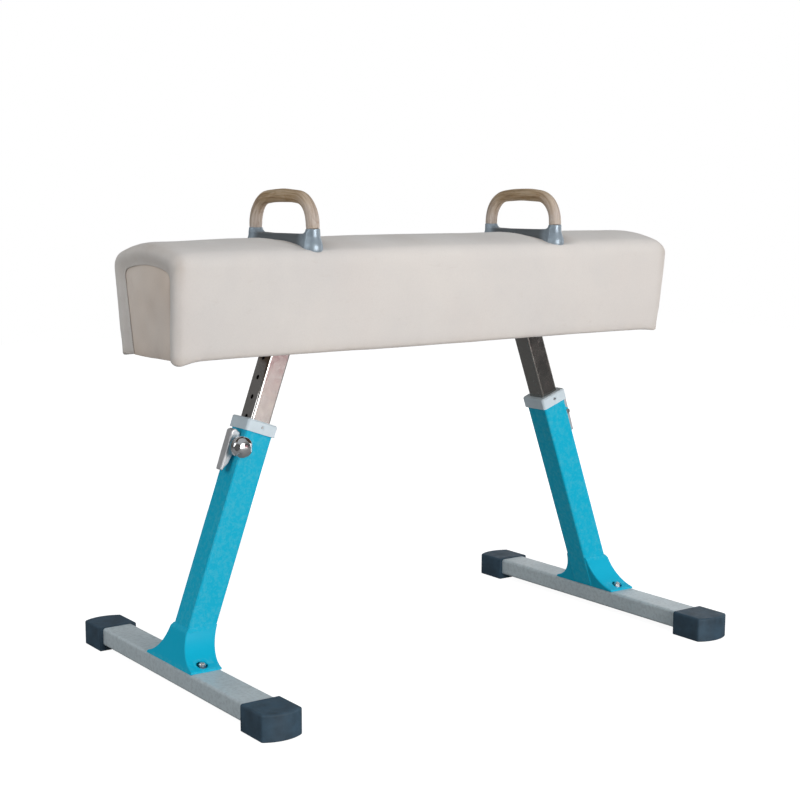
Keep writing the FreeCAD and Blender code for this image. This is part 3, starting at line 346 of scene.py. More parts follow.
M_COVER = leather("cover_leather", srgb(232, 227, 222), srgb(222, 218, 215), srgb(228, 221, 216), srgb(176, 158, 140))
M_PANEL = leather("end_panel_leather", srgb(240, 227, 215), srgb(228, 216, 206), srgb(238, 218, 200), srgb(124, 94, 70), rough=0.78, sheen=0.1, grain=1.3)
M_THREAD = plastic("seam_thread", srgb(150, 124, 102), srgb(122, 100, 82), rough=0.7, grain=0.3, scale=2500.0)
M_TEAL = painted("teal_paint", srgb(0, 186, 222), srgb(0, 182, 218), srgb(96, 202, 222), rough=0.46, coat=0.0, orange=0.09, spec=0.2, blotch=0.12, wear=0.3)
M_GREY = painted("grey_paint", srgb(204, 215, 219), srgb(196, 208, 213), srgb(150, 158, 162), rough=0.42, coat=0.05, orange=0.10)
M_RUBBER = plastic("foot_rubber", srgb(54, 79, 97), srgb(42, 62, 76), rough=0.62, grain=0.35, scale=650.0, spec=0.45)
M_COLLAR = plastic("collar_plastic", srgb(222, 236, 244), srgb(212, 227, 236), rough=0.42, grain=0.06, scale=700.0)
M_BUSH = plastic("dark_plastic", srgb(52, 52, 54), srgb(40, 40, 42), rough=0.5, grain=0.1, scale=700.0)
M_TUBE = bare_metal("chromed_tube", (0.71, 0.69, 0.67), (0.57, 0.55, 0.53), 0.19, amount=0.35, stain=srgb(164, 156, 150), stain_amt=0.25, bump=0.004)
# the right inner tube's chrome: the left tube's chrome painted much darker, painted shade standing in for the darker
# reflections on that tube
M_TUBE_R_SHADED = bare_metal("chromed_tube_painted_darker", (0.33, 0.32, 0.30), (0.26, 0.25, 0.24), 0.20, amount=0.35, stain=srgb(140, 126, 118), stain_amt=0.25, bump=0.004)
M_KNOB = bare_metal("knob_chrome", (0.86, 0.86, 0.87), (0.74, 0.74, 0.76), 0.07, streak=(1, 1, 1), streak_scale=90.0, amount=0.25, bump=0.02)
M_CAST = bare_metal("cast_aluminium", (0.66, 0.66, 0.67), (0.56, 0.56, 0.58), 0.42, streak=(1, 1, 1), streak_scale=420.0, amount=0.4, bump=0.08, metallic=0.5)
M_ZINC = bare_metal("zinc_steel", (0.68, 0.69, 0.70), (0.52, 0.53, 0.55), 0.30, streak=(1, 1, 1), streak_scale=500.0, amount=0.5, stain=(0.36, 0.34, 0.30), stain_amt=0.2)
M_GRIP = wood_grip("grip_wood")
M_PLY = plywood("plywood")
M_HARD = plywood("under_panel", dark=True)
M_FOAM = plastic("foam", srgb(224, 206, 150), srgb(206, 186, 128), rough=0.95, grain=0.9, scale=380.0, spec=0.1)


def pommel_metal(name):
    a = Mat(name)
    c = a.mix(a.ramp(a.noise(30.0, 5.0, 0.6, dist=0.3), [(0.35, 0.0), (0.7, 1.0)]), srgb(166, 181, 193), srgb(142, 156, 168))
    # painted shade: the saddle between the sockets and the lowest part by the leather made darker
    c = a.mix(a.attr("saddle_shade"), c, srgb(104, 108, 111))
    fine = a.noise(900.0, 3.0, 0.6)
    c = a.mix(a.math("MULTIPLY", a.ramp(fine, [(0.55, 0.0), (0.75, 1.0)]), 0.35), c, srgb(150, 164, 172))
    point = a.node("ShaderNodeNewGeometry").outputs["Pointiness"]
    c = a.mix(a.math("MULTIPLY", a.ramp(point, [(0.52, 0.0), (0.58, 1.0)]), 0.4), c, srgb(170, 182, 190))
    a.color(c)
    n = a.bump(fine, 0.12, 0.0003)
    n = a.bump(a.noise(120.0, 3.0), 0.12, 0.0006, base=n)
    a.normal(n)
    a.rough(a.range(a.noise(40.0, 4.0), 0.3, 0.7, 0.36, 0.50))
    a.set(Metallic=0.45)
    return a.m


M_POMMEL = pommel_metal("pommel_metal")


# ------------------------------------------------------------------ mesh helpers
def build(name, verts, faces, mat, smooth=True, attrs=None):
    """Mesh object from millimetre coordinates."""
    me = bpy.data.meshes.new(name)
    me.from_pydata((np.asarray(verts, float) * MM).tolist(), [], [list(map(int, f)) for f in faces])
    me.update()
    if smooth:
        me.polygons.foreach_set("use_smooth", [True] * len(me.polygons))
    for key, val in (attrs or {}).items():
        val = np.asarray(val, np.float32)
        if val.ndim == 1:
            me.attributes.new(key, "FLOAT", "POINT").data.foreach_set("value", val)
        else:
            me.attributes.new(key, "FLOAT_VECTOR", "POINT").data.foreach_set("vector", val.ravel())
    ob = bpy.data.objects.new(name, me)
    scene.collection.objects.link(ob)
    me.materials.append(mat)
    return ob


def grid_faces(rows, cols, close_rows=False, close_cols=False, flip=False):
    f = []
    for i in range(rows if close_rows else rows - 1):
        for j in range(cols if close_cols else cols - 1):
            a, b = i * cols + j, i * cols + (j + 1) % cols
            c, d = ((i + 1) % rows) * cols + (j + 1) % cols, ((i + 1) % rows) * cols + j
            f.append((a, d, c, b) if flip else (a, b, c, d))
    return f


def coords(ob):
    co = np.zeros(len(ob.data.vertices) * 3)
    ob.data.vertices.foreach_get("co", co)
    return co.reshape(-1, 3)


def set_coords(ob, co):
    ob.data.vertices.foreach_set("co", np.asarray(co, float).ravel())
    ob.data.update()


def apply_modifiers(ob):
    dg = bpy.context.evaluated_depsgraph_get()
    me = bpy.data.meshes.new_from_object(ob.evaluated_get(dg), preserve_all_data_layers=True, depsgraph=dg)
    old = ob.data
    ob.modifiers.clear()
    ob.data = me
    bpy.data.meshes.remove(old)
    return ob


def subdivide(ob, levels=1):
    s = ob.modifiers.new("Subdivision", "SUBSURF")
    s.levels = s.render_levels = levels
    s.boundary_smooth = "PRESERVE_CORNERS"
    return apply_modifiers(ob)


def solidify(ob, t_mm, offset=-1.0):
    s = ob.modifiers.new("Solidify", "SOLIDIFY")
    s.thickness = t_mm * MM
    s.offset = offset
    s.use_rim = True
    return apply_modifiers(ob)


def bevel(ob, w_mm, seg=3, angle=30.0):
    b = ob.modifiers.new("Bevel", "BEVEL")
    b.width = w_mm * MM
    b.segments = seg
    b.limit_method = "ANGLE"
    b.angle_limit = math.radians(angle)
    b.harden_normals = False
    return apply_modifiers(ob)


def cloth(ob, pins, pressure, cap_mm, frames=16, stiff=30.0, weights=None):
    """Air pressure under the stretched hide; pinned where it is sewn or stapled. The result is applied."""
    rest = coords(ob)
    vg = ob.vertex_groups.new(name="pin")
    vg.add([int(i) for i in pins], 1.0, "REPLACE")
    mod = ob.modifiers.new("Cloth", "CLOTH")
    s = mod.settings
    s.quality = 6
    s.mass = 0.25
    s.air_damping = 4.0
    s.tension_stiffness = s.compression_stiffness = stiff
    s.shear_stiffness = stiff * 0.5
    s.bending_stiffness = 6.0
    s.use_pressure = True
    s.uniform_pressure_force = pressure
    if weights is not None:
        pg = ob.vertex_groups.new(name="press")
        for i, w in enumerate(weights):
            pg.add([i], float(w), "REPLACE")
        s.vertex_group_pressure = "press"
    s.effector_weights.gravity = 0.0
    s.vertex_group_mass = "pin"
    mod.collision_settings.use_collision = False
    mod.point_cache.frame_start, mod.point_cache.frame_end = 1, frames
    for f in range(1, frames + 1):
        scene.frame_set(f)
    dg = bpy.context.evaluated_depsgraph_get()
    me = ob.evaluated_get(dg).to_mesh()
    co = np.zeros(len(me.vertices) * 3)
    me.vertices.foreach_get("co", co)
    co = co.reshape(-1, 3)
    ob.evaluated_get(dg).to_mesh_clear()
    ob.modifiers.remove(mod)
    ob.vertex_groups.clear()
    scene.frame_set(1)
    d = co - rest
    length = np.linalg.norm(d, axis=1)
    cap = cap_mm * MM
    # soft cap: small moves stay, large ones level off
    new = cap * np.tanh(length / cap)
    k = np.where(length > 1e-9, new / np.maximum(length, 1e-9), 0.0)
    print("cloth", ob.name, "moved mm max %.2f mean %.2f" % (new.max() * 1000, new.mean() * 1000))
    set_coords(ob, rest + d * k[:, None])


def surface_nets(f, lo, hi, h):
    """Closed mesh of the level set f = 0 (negative inside) on a regular grid, in millimetres."""
    n = np.ceil((np.asarray(hi, float) - np.asarray(lo, float)) / h).astype(int) + 1
    ax = [np.asarray(lo, float)[i] + h * np.arange(n[i]) for i in range(3)]
    X, Y, Z = np.meshgrid(*ax, indexing="ij")
    D = f(X, Y, Z)
    inside = D < 0
    nx, ny, nz = D.shape
    acc = np.zeros((nx - 1, ny - 1, nz - 1, 3))
    cnt = np.zeros((nx - 1, ny - 1, nz - 1))
    corners = [(i, j, k) for i in (0, 1) for j in (0, 1) for k in (0, 1)]
    for a in corners:
        for b in corners:
            diff = [b[t] - a[t] for t in range(3)]
            if sum(map(abs, diff)) != 1 or sum(diff) != 1:
                continue
            va = D[a[0]:nx - 1 + a[0], a[1]:ny - 1 + a[1], a[2]:nz - 1 + a[2]]
            vb = D[b[0]:nx - 1 + b[0], b[1]:ny - 1 + b[1], b[2]:nz - 1 + b[2]]
            cross = (va < 0) != (vb < 0)
            t = np.where(cross, va / np.where(cross, va - vb, 1.0), 0.0)
            for c in range(3):
                acc[..., c] += np.where(cross, a[c] + t * diff[c], 0.0)
            cnt += cross
    active = cnt > 0
    idx = -np.ones(active.shape, int)
    idx[active] = np.arange(active.sum())
    I = np.argwhere(active)
    P = acc[active] / cnt[active][:, None]
    verts = np.asarray(lo, float) + (I + P) * h
    faces = []
    for axis in range(3):
        sl_a = [slice(None)] * 3
        sl_b = [slice(None)] * 3
        sl_a[axis], sl_b[axis] = slice(0, -1), slice(1, None)
        ia, ib = inside[tuple(sl_a)], inside[tuple(sl_b)]
        u, v = (axis + 1) % 3, (axis + 2) % 3
        for sign, mask in ((1, ia & ~ib), (-1, ~ia & ib)):
            E = np.argwhere(mask)
            E = E[(E[:, u] > 0) & (E[:, v] > 0) & (E[:, u] < idx.shape[u]) & (E[:, v] < idx.shape[v])]
            if not len(E):
                continue
            q = []
            for du, dv in ((-1, -1), (0, -1), (0, 0), (-1, 0)):
                C = E.copy()
                C[:, u] += du
                C[:, v] += dv
                q.append(idx[C[:, 0], C[:, 1], C[:, 2]])
            q = np.stack(q, 1)
            if sign < 0:
                q = q[:, ::-1]
            faces.append(q[(q >= 0).all(1)])
    return verts, np.concatenate(faces)


def smin(a, b, k):
    h = np.clip(0.5 + 0.5 * (b - a) / k, 0, 1)
    return b * (1 - h) + a * h - k * h * (1 - h)


def smax(a, b, k):
    return -smin(-a, -b, k)


def sstep(x, a, b):
    t = np.clip((x - a) / (b - a), 0, 1)
    return t * t * (3 - 2 * t)


def value_noise(p, scale, seed):
    """Smooth seeded noise in about -1..1, p in millimetres."""
    rng = np.random.RandomState(seed)
    out = np.zeros(len(p))
    for k in range(7):
        d = rng.normal(size=3)
        d /= np.linalg.norm(d)
        w = 2 * math.pi / scale * rng.uniform(0.6, 1.6)
        out += np.sin(p @ d * w + rng.uniform(0, 6.28))
    return out / 4.0


# ------------------------------------------------------------------ body profile (millimetres)
HB, HT, ZB, ZC, ZS, RC = 152.0, 176.0, 861.0, 1154.0, 1092.0, 524.0


def shoulder():
    cz = ZC - RC
    dx, dz = HT - HB, ZS - ZB
    L = math.hypot(dx, dz)
    nx, nz = -dz / L, dx / L
    lo, hi = 5.0, 150.0
    for _ in range(80):
        r = (lo + hi) / 2
        c = (HT + nx * r, ZS + nz * r)
        if math.hypot(c[0], c[1] - cz) + r > RC:
            hi = r
        else:
            lo = r
    return c, r, cz


SH_C, SH_R, CZ = shoulder()


def half_profile():
    """From the stapled lip under the edge, round the bottom corner, up the side, over the shoulder to the crown."""
    pts = [(98.0, 862.3), (110.0, 861.9), (122.0, 861.5), (134.0, 861.1)]
    for a in np.linspace(-90, 0, 7):
        pts.append((144.0 + 8.4 * math.cos(math.radians(a)), 869.4 + 8.4 * math.sin(math.radians(a))))
    for t in np.linspace(0.03, 1.0, 28)[1:]:
        z = 869.4 + (ZS - 869.4) * t
        y = HB + (HT - HB) * (z - ZB) / (ZS - ZB) + 2.2 * math.sin(math.pi * t) ** 2
        pts.append((y, z))
    a0 = math.atan2(ZS - SH_C[1], HT - SH_C[0])
    a1 = math.atan2(SH_C[1] - CZ, SH_C[0])
    for t in np.linspace(0, 1, 10)[1:]:
        a = a0 + (a1 - a0) * t
        pts.append((SH_C[0] + SH_R * math.cos(a), SH_C[1] + SH_R * math.sin(a)))
    for t in np.linspace(0, 1, 16)[1:]:
        a = a1 + (math.pi / 2 - a1) * t
        pts.append((RC * math.cos(a), CZ + RC * math.sin(a)))
    return np.array(pts)


def crown_z(y):
    """Height of the body's top surface over the width."""
    y = np.abs(np.asarray(y, float))
    zc = CZ + np.sqrt(np.maximum(RC * RC - y * y, 1.0))
    zs = SH_C[1] + np.sqrt(np.maximum(SH_R * SH_R - (y - SH_C[0]) ** 2, 0.0))
    ytp = SH_C[0] * RC / (RC - SH_R)
    return np.where(y < ytp, zc, zs)


def panel_half(n):
    """Half outline of the end panel from the bottom corner to the top of its arch."""
    pts = [(102.0 + 20.0 * t, 864.0 + 192.0 * t) for t in np.linspace(0, 1, 24)]
    pts += [(122.0 - 1.2 * t, 1056.0 + 4.0 * t) for t in (0.5,)]
    for a in np.linspace(0, 1, 10)[1:]:
        ang = math.radians(-4 + 74 * a)
        pts.append((96.5 + 25.5 * math.cos(ang), 1055.6 + 25.5 * math.sin(ang)))
    y1, z1 = pts[-1]
    top = 1094.0
    for t in np.linspace(0, 1, 14)[1:]:
        y = y1 * (1 - t)
        pts.append((y, top - (top - z1) * (y / y1) ** 2))
    pts = np.array(pts)
    s = np.r_[0, np.cumsum(np.linalg.norm(np.diff(pts, axis=0), axis=1))]
    u = np.linspace(0, s[-1], n)
    return np.c_[np.interp(u, s, pts[:, 0]), np.interp(u, s, pts[:, 1])]


HALF = half_profile()
EDGE = 10                      # index of the last point of the bottom corner
NLIP = 4                       # points of the stapled lip
PAN = panel_half(400)


def seam_points():
    """For each profile point, the matching point of the end panel's outline."""
    Q = np.zeros_like(HALF)
    split = 1035.0
    rest = [i for i in range(len(HALF)) if HALF[i, 1] > split and i > EDGE]
    i0 = rest[0]
    seg = HALF[i0:]
    s = np.r_[0, np.cumsum(np.linalg.norm(np.diff(seg, axis=0), axis=1))]
    s /= s[-1]
    zq0 = HALF[i0, 1]
    j0 = int(np.argmin(np.abs(PAN[:, 1] - zq0) + (PAN[:, 0] < 100) * 1e3))
    pseg = PAN[j0:]
    ps = np.r_[0, np.cumsum(np.linalg.norm(np.diff(pseg, axis=0), axis=1))]
    ps /= ps[-1]
    for k, i in enumerate(range(i0, len(HALF))):
        Q[i] = (np.interp(s[k], ps, pseg[:, 0]), np.interp(s[k], ps, pseg[:, 1]))
    for i in range(i0):
        z = max(HALF[i, 1], 862.0)
        Q[i] = (102.0 + 20.0 * (z - 864.0) / 192.0, z)
    return Q


SEAM = seam_points()
END = {-1: 811.0, 1: 818.0}      # outermost face of the rolled rim at each end
END_LEAN = {-1: 4.5, 1: 6.5}     # and how much further out it stands at the shoulders


def panel_x(z):
    """Plane of the end panels, leaning out towards the top."""
    return 794.5 + 11.0 * np.clip((np.asarray(z, float) - 862.0) / 232.0, 0, 1)


def mirror(half):
    other = half[:-1][::-1] * np.array([1.0, 1.0])
    front = half * np.array([-1.0, 1.0])
    return np.vstack([front, other])


PROF, SEAMS = mirror(HALF), mirror(SEAM)
NP_ = len(PROF)
NH = len(HALF)


def droop(side, y, x_in):
    """How far the folded corner of the cover hangs below the edge."""
    amount = {(-1, -1): 10.5, (-1, 1): 6.0, (1, -1): 5.0, (1, 1): 3.5}[(side, -1 if y < 0 else 1)]
    near_y = np.exp(-(((152.0 - abs(y)) / 22.0) ** 2))
    near_x = np.exp(-((x_in / 33.0) ** 2))
    return amount * near_y * near_x


def settle(V):
    """Use has let the padding down a little toward the left end, and the hem of the right half is pulled higher."""
    x, z = V[:, 0].copy(), V[:, 2].copy()
    V[:, 2] -= (1.4 + 2.2 * sstep(-x, 60, 320) + 4.6 * sstep(-x, 540, 745)) * sstep(z, 1060, 1140)
    V[:, 2] += 2.2 * sstep(x, 40, 460) * (1 - sstep(z, 862, 960))
    V[:, 0] -= 6.5 * sstep(x, 745, 800) * sstep(z, 1098, 1132)
    return V


def make_cover():
    rings = []        # (x, w, h): w from body to seam
    for a in np.linspace(0, math.pi / 2, 10):
        rings.append(("out", a))
    for b in np.linspace(0, math.pi / 2, 8)[1:]:
        rings.append(("in", b))
    nz = np.zeros(NP_)
    tang = np.gradient(PROF, axis=0)
    tang /= np.linalg.norm(tang, axis=1)[:, None]
    nrm = np.c_[-tang[:, 1], tang[:, 0]]
    up = np.clip(nrm[:, 1], 0, 1)
    Rx = 21.0 + 23.0 * up
    crest = 0.44 - 0.02 * up
    rows = []
    cols = np.arange(NP_)
    lip = np.zeros(NP_)
    for i in range(NP_):
        k = i if i < NH else NP_ - 1 - i
        lip[i] = max(0.0, (NLIP + 1 - k) / (NLIP + 1)) if k <= NLIP else 0.0
    edge_i = np.array([(NLIP + 1 if i < NH else NP_ - 2 - NLIP) if lip[i] > 0 else i for i in range(NP_)])

    def ring(side, kind, a):
        if kind == "out":
            w = crest * (1 - math.cos(a))
            h = Rx * (1 - math.sin(a))
        else:
            t = a / (math.pi / 2)
            w = crest + (1 - crest) * t
            h = np.full(NP_, t * t * (3 - 2 * t))
        P = PROF + (SEAMS - PROF) * w[:, None]
        out_x = END[side] + END_LEAN[side] * np.clip((P[:, 1] - 880.0) / 200.0, 0, 1) * np.clip(1.0 * (w > 0), 0, 1)
        if kind == "in":
            h = h * (out_x - panel_x(P[:, 1]))
        low = np.clip((874.0 - P[:, 1]) / 13.0, 0, 1)
        pull = 9.5 * (1 - np.sqrt(1 - 0.97 * low * low)) * np.clip(w / crest, 0, 1) * (1 - 0.6 * np.clip((w - crest) / (1 - crest), 0, 1))
        h = h + pull
        x = out_x - h
        Pe, We = P[edge_i], w[edge_i]
        # the lip turns from lying across the body to lying along it as it goes round the corner
        psi = np.clip(We / 0.5, 0, 1) * math.pi / 2
        reach = lip * 46.0
        sgn = np.sign(PROF[:, 0])
        yl = Pe[:, 0] - sgn * reach * np.cos(psi)
        xl = (out_x[edge_i] - h[edge_i]) - reach * np.sin(psi)
        is_lip = lip > 0
        y = np.where(is_lip, yl, P[:, 0])
        z = np.where(is_lip, PROF[:, 1] + 0.4 * We, P[:, 1])
        x = np.where(is_lip, xl, x)
        dz = np.array([droop(side, yy, max(0.0, END[side] - 14 - xx)) for yy, xx in zip(y, x)])
        z = z - dz * np.clip((905.0 - z) / 42.0, 0, 1)
        return np.c_[side * x, y, z]

    n_body = 150
    left = [ring(-1, k, a) for k, a in rings[::-1]]
    xs = np.linspace(-(END[-1] - 50), END[1] - 50, n_body)
    body = []
    for x in xs:
        z = PROF[:, 1].copy()
        side = -1 if x < 0 else 1
        dz = np.array([droop(side, yy, max(0.0, END[side] - 14 - abs(x))) for yy in PROF[:, 0]])
        z = z - dz * np.clip((905.0 - z) / 42.0, 0, 1)
        body.append(np.c_[np.full(NP_, x), PROF[:, 0], z])
    right = [ring(1, k, a) for k, a in rings]
    # body rows are flat; the roll starts at a different depth round the profile
    rows = left + body + right
    V = settle(np.vstack(rows))
    faces = grid_faces(len(rows), NP_, flip=False)
    ob = build("horse_cover", V, faces, M_COVER)
    pins = []
    for r in range(len(rows)):
        for c in range(NP_):
            if r == 0 or r == len(rows) - 1 or lip[c] > 0:
                pins.append(r * NP_ + c)
    return ob, pins, V, lip


cover, pins, V0, lip = make_cover()
# outward normals first, so that the pressure swells the hide
_co = coords(cover)
_top = int(np.argmax(_co[:, 2]))
if cover.data.vertices[_top].normal.z < 0:
    cover.data.flip_normals()
p0 = coords(cover) / MM
wts = 0.65 + 0.35 * value_noise(p0, 260.0, 11)
cloth(cover, pins, 0.9, 1.1, frames=14, stiff=35.0, weights=np.clip(wts, 0.1, 1.0))
subdivide(cover, 1)

# wear, pull marks and the hollow under each pommel base
p = coords(cover) / MM
me = cover.data
nrm = np.zeros(len(me.vertices) * 3)
me.vertices.foreach_get("normal", nrm)
nrm = nrm.reshape(-1, 3)
if (nrm[np.argmax(p[:, 2])][2]) < 0:
    me.flip_normals()
    me.vertices.foreach_get("normal", nrm.ravel())
    nrm = np.zeros(len(me.vertices) * 3)
    me.vertices.foreach_get("normal", nrm)
    nrm = nrm.reshape(-1, 3)
x, y, z = p.T
d = 0.9 * value_noise(p, 420.0, 3) + 0.45 * value_noise(p, 150.0, 5) + 0.10 * value_noise(p, 38.0, 6)
low = np.exp(-np.maximum(z - 864.0, 0) / 26.0) * (z > 863.5)
d += -0.55 * low * (0.5 + 0.5 * np.sin(x / 46.0 * 2 * math.pi + 1.4 * value_noise(p, 300.0, 8)))
corner = np.exp(-((np.abs(x) - 790.0) / 55.0) ** 2) * np.exp(-((z - 880.0) / 60.0) ** 2)
d += 0.8 * corner * np.sin((z + 0.5 * np.abs(x)) / 15.0)
p = p + nrm * d[:, None]
x, y, z = p.T.copy()


def base_under(y):
    """Underside of the pommel bases, pressed into the padding."""
    return 1145.8 - y * y / 1075.0


for sx in (-406.5, 406.5):
    foot = np.hypot(x - sx, np.abs(y) - 140.0) - 28.0
    bar = np.hypot(np.maximum(np.abs(x - sx) - 23.5, 0.0), np.maximum(np.abs(y) - 140.0, 0.0))
    gap = np.maximum(np.minimum(foot, bar), 0.0)
    sink = np.clip(z - base_under(y), 0.0, 14.0)
    p[:, 2] -= sink * np.exp(-((gap / 30.0) ** 2)) * sstep(z, 1096, 1116)
    swell = np.exp(-(((gap - 52.0) / 22.0) ** 2)) * sstep(z, 1090, 1120)
    p[:, 2] += 0.6 * swell
set_coords(cover, p * MM)
# darker towards the bottom hem: painted shade along the edge, with some real dirt
grime_and_shade = 0.30 * np.exp(-np.maximum(z - 864, 0) / 10.0)
# darker on the rim by the end seam, more towards the top: painted shade on the rim's flank, with some real dirt at the
# seam
grime_and_shade += (0.16 + 0.14 * sstep(z, 1010, 1100)) * np.exp(-((np.abs(x) - 806) / 16.0) ** 2)
top = sstep(z, 1118, 1140)
# the top made greyer in patches: painted shade on the top, with some real chalk wear
grime_and_shade += top * 0.10 * (1 + value_noise(p, 240.0, 21))
# darker round each pommel base: painted shade next to the bases, with some real chalk wear
for sx in (-406.5, 406.5):
    grime_and_shade += 0.30 * np.exp(-((np.maximum(np.abs(x - sx) - 30, 0) / 30.0) ** 2)) * top
me.attributes.new("grime_and_shade", "FLOAT", "POINT").data.foreach_set("value", np.clip(grime_and_shade, 0, 1).astype(np.float32))
solidify(cover, 2.0)
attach(cover, "horse")
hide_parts("leather_cover", "foam_padding")


# ------------------------------------------------------------------ end panels
def arch_z(y):
    yy = np.abs(PAN[:, 0])
    order = np.argsort(PAN[:, 0])
    sel = PAN[order]
    top = sel[sel[:, 1] > 1050]
    return np.interp(np.abs(y), top[:, 0], top[:, 1])


def make_panel(name, side):
    ncol, nrow = 41, 45
    V = []
    fs = np.sin(np.linspace(-1, 1, ncol) * math.pi / 2)
    for r in range(-6, nrow):
        v = max(r, 0) / (nrow - 1)
        for f in fs:
            zt = arch_z(f * 122.0)
            zz = 860.6 + v * (zt - 860.6)
            hw = 102.0 + 20.0 * min(max((zz - 864.0) / 192.0, 0), 1)
            hw = min(hw, 122.0)
            y = f * (hw + 1.2)
            edge = min(1.0, (1 - abs(f)) / 0.10) if abs(f) < 1 else 0.0
            vedge = min(1.0, (1 - v) / 0.08)
            e = max(0.0, min(edge, vedge))
            crown = 2.6 * math.cos(f * math.pi / 2) * math.sin(math.pi * min(v + 0.12, 1.0) ** 0.9) + 1.6 * (e - 1)
            x = float(panel_x(zz)) + crown
            if r < 0:
                t = -r / 6.0
                x = float(panel_x(zz)) + crown * (1 - t) - 40.0 * max(0.0, t - 1 / 6.0)
                zz = 860.6 - 1.8 * min(1.0, t * 6) * 0.5
            V.append((side * x, y, zz))
    rows = nrow + 6
    faces = grid_faces(rows, ncol, flip=(side < 0))
    ob = build(name, V, faces, M_PANEL)
    pins = [r * ncol + c for r in range(rows) for c in range(ncol) if r <= 6 or r == rows - 1 or c in (0, ncol - 1)]
    cloth(ob, pins, 1.2, 2.6, frames=14, stiff=30.0)
    subdivide(ob, 1)
    q = coords(ob) / MM
    me = ob.data
    n = np.zeros(len(me.vertices) * 3)
    me.vertices.foreach_get("normal", n)
    n = n.reshape(-1, 3)
    dd = 0.5 * value_noise(q, 160.0, 31 + side) + 0.25 * value_noise(q, 60.0, 33 + side)
    yy, zz = q[:, 1], q[:, 2]
    outl = np.minimum((102 + 20 * np.clip((zz - 864) / 192, 0, 1)) - np.abs(yy), arch_z(yy) - zz)
    inner = np.clip(outl / 14.0, 0, 1)
    q += n * (dd * inner)[:, None]
    set_coords(ob, q * MM)
    # dark line round the panel edge: the seam joint's own darkness plus painted shade of the groove; also darker
    # towards the bottom, and random tone
    g = 0.75 * np.exp(-np.maximum(outl, 0) / 3.0) + 0.15 * (1 + value_noise(q, 90.0, 41)) * 0.5 + 0.2 * np.exp(-np.maximum(zz - 864, 0) / 14.0)
    me.attributes.new("grime_and_shade", "FLOAT", "POINT").data.foreach_set("value", np.clip(g, 0, 1).astype(np.float32))
    solidify(ob, 1.8)
    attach(ob, "horse")
    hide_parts(("left" if side < 0 else "right") + "_end_panel")
    return ob


make_panel("left_panel_leather", -1)
make_panel("right_panel_leather", 1)


def stitches(name, side):
    """Thread stitches sunk along the seam between rim and panel."""
    full = mirror(panel_half(300))
    out = []
    s = np.r_[0, np.cumsum(np.linalg.norm(np.diff(full, axis=0), axis=1))]
    pitch, length = 4.6, 3.4
    V, F = [], []
    nseg, nr = 6, 6
    for u in np.arange(3.0, s[-1] - 3.0, pitch):
        a = np.array([np.interp(u, s, full[:, 0]), np.interp(u, s, full[:, 1])])
        b = np.array([np.interp(u + length, s, full[:, 0]), np.interp(u + length, s, full[:, 1])])
        t = (b - a) / np.linalg.norm(b - a)
        nrm2 = np.array([-t[1], t[0]])
        centre = np.array([0, 980.0])
        if np.dot(nrm2, a - centre) < 0:
            nrm2 = -nrm2
        base = len(V)
        for i in range(nseg + 1):
            f = i / nseg
            c = a + (b - a) * f + nrm2 * 0.9
            lift = math.sin(math.pi * f)
            rad = 0.25 + 0.42 * lift ** 0.5
            xx = float(panel_x(c[1])) - 0.9 + 0.35 * lift
            for k in range(nr):
                ang = 2 * math.pi * k / nr
                yz = c + nrm2 * rad * math.cos(ang)
                V.append((side * (xx + rad * math.sin(ang)), yz[0], yz[1]))
        for i in range(nseg):
            for k in range(nr):
                F.append((base + i * nr + k, base + i * nr + (k + 1) % nr, base + (i + 1) * nr + (k + 1) % nr, base + (i + 1) * nr + k))
        F.append(tuple(base + k for k in range(nr))[::-1])
        F.append(tuple(base + nseg * nr + k for k in range(nr)))
    ob = build(name, V, F, M_THREAD)
    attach(ob, "horse")
    return ob


stitches("left_seam_stitches", -1)
stitches("right_seam_stitches", 1)

# ------------------------------------------------------------------ pommel grips
RT, YT, RS, SPL, GZ, GC, GY = 738.0, 76.3, 71.5, math.radians(4.3), 1176.0, 1260.0, 141.0


def arch_path(n=180):
    sl = math.asin(YT / RT)
    z1 = GC - (RT - math.sqrt(RT * RT - YT * YT))
    c = np.array([YT - RS * math.sin(sl), z1 - RS * math.cos(sl)])
    e = c + RS * np.array([math.cos(SPL), math.sin(SPL)])
    foot_y = e[0] + (e[1] - GZ) * math.tan(SPL)
    sh = GY - foot_y
    pts = [(0.0 + YT * 0 + 0.0, GC)]
    for t in np.linspace(0, 1, 30)[1:]:
        a = math.pi / 2 - sl * t
        pts.append((RT * math.cos(a), GC - RT + RT * math.sin(a)))
    for t in np.linspace(0, 1, 40)[1:]:
        a = (math.pi / 2 - sl) + (SPL - (math.pi / 2 - sl)) * t
        pts.append((c[0] + RS * math.cos(a), c[1] + RS * math.sin(a)))
    pts.append((foot_y, GZ))
    pts = np.array(pts)
    pts[:, 0] += sh * np.clip(pts[:, 0] / 100.0, 0, 1)
    s = np.r_[0, np.cumsum(np.linalg.norm(np.diff(pts, axis=0), axis=1))]
    u = np.linspace(0, s[-1], n // 2 + 1)
    half = np.c_[np.interp(u, s, pts[:, 0]), np.interp(u, s, pts[:, 1])]
    left = half[1:][::-1] * np.array([-1, 1])
    return np.vstack([left, half]), s[-1]


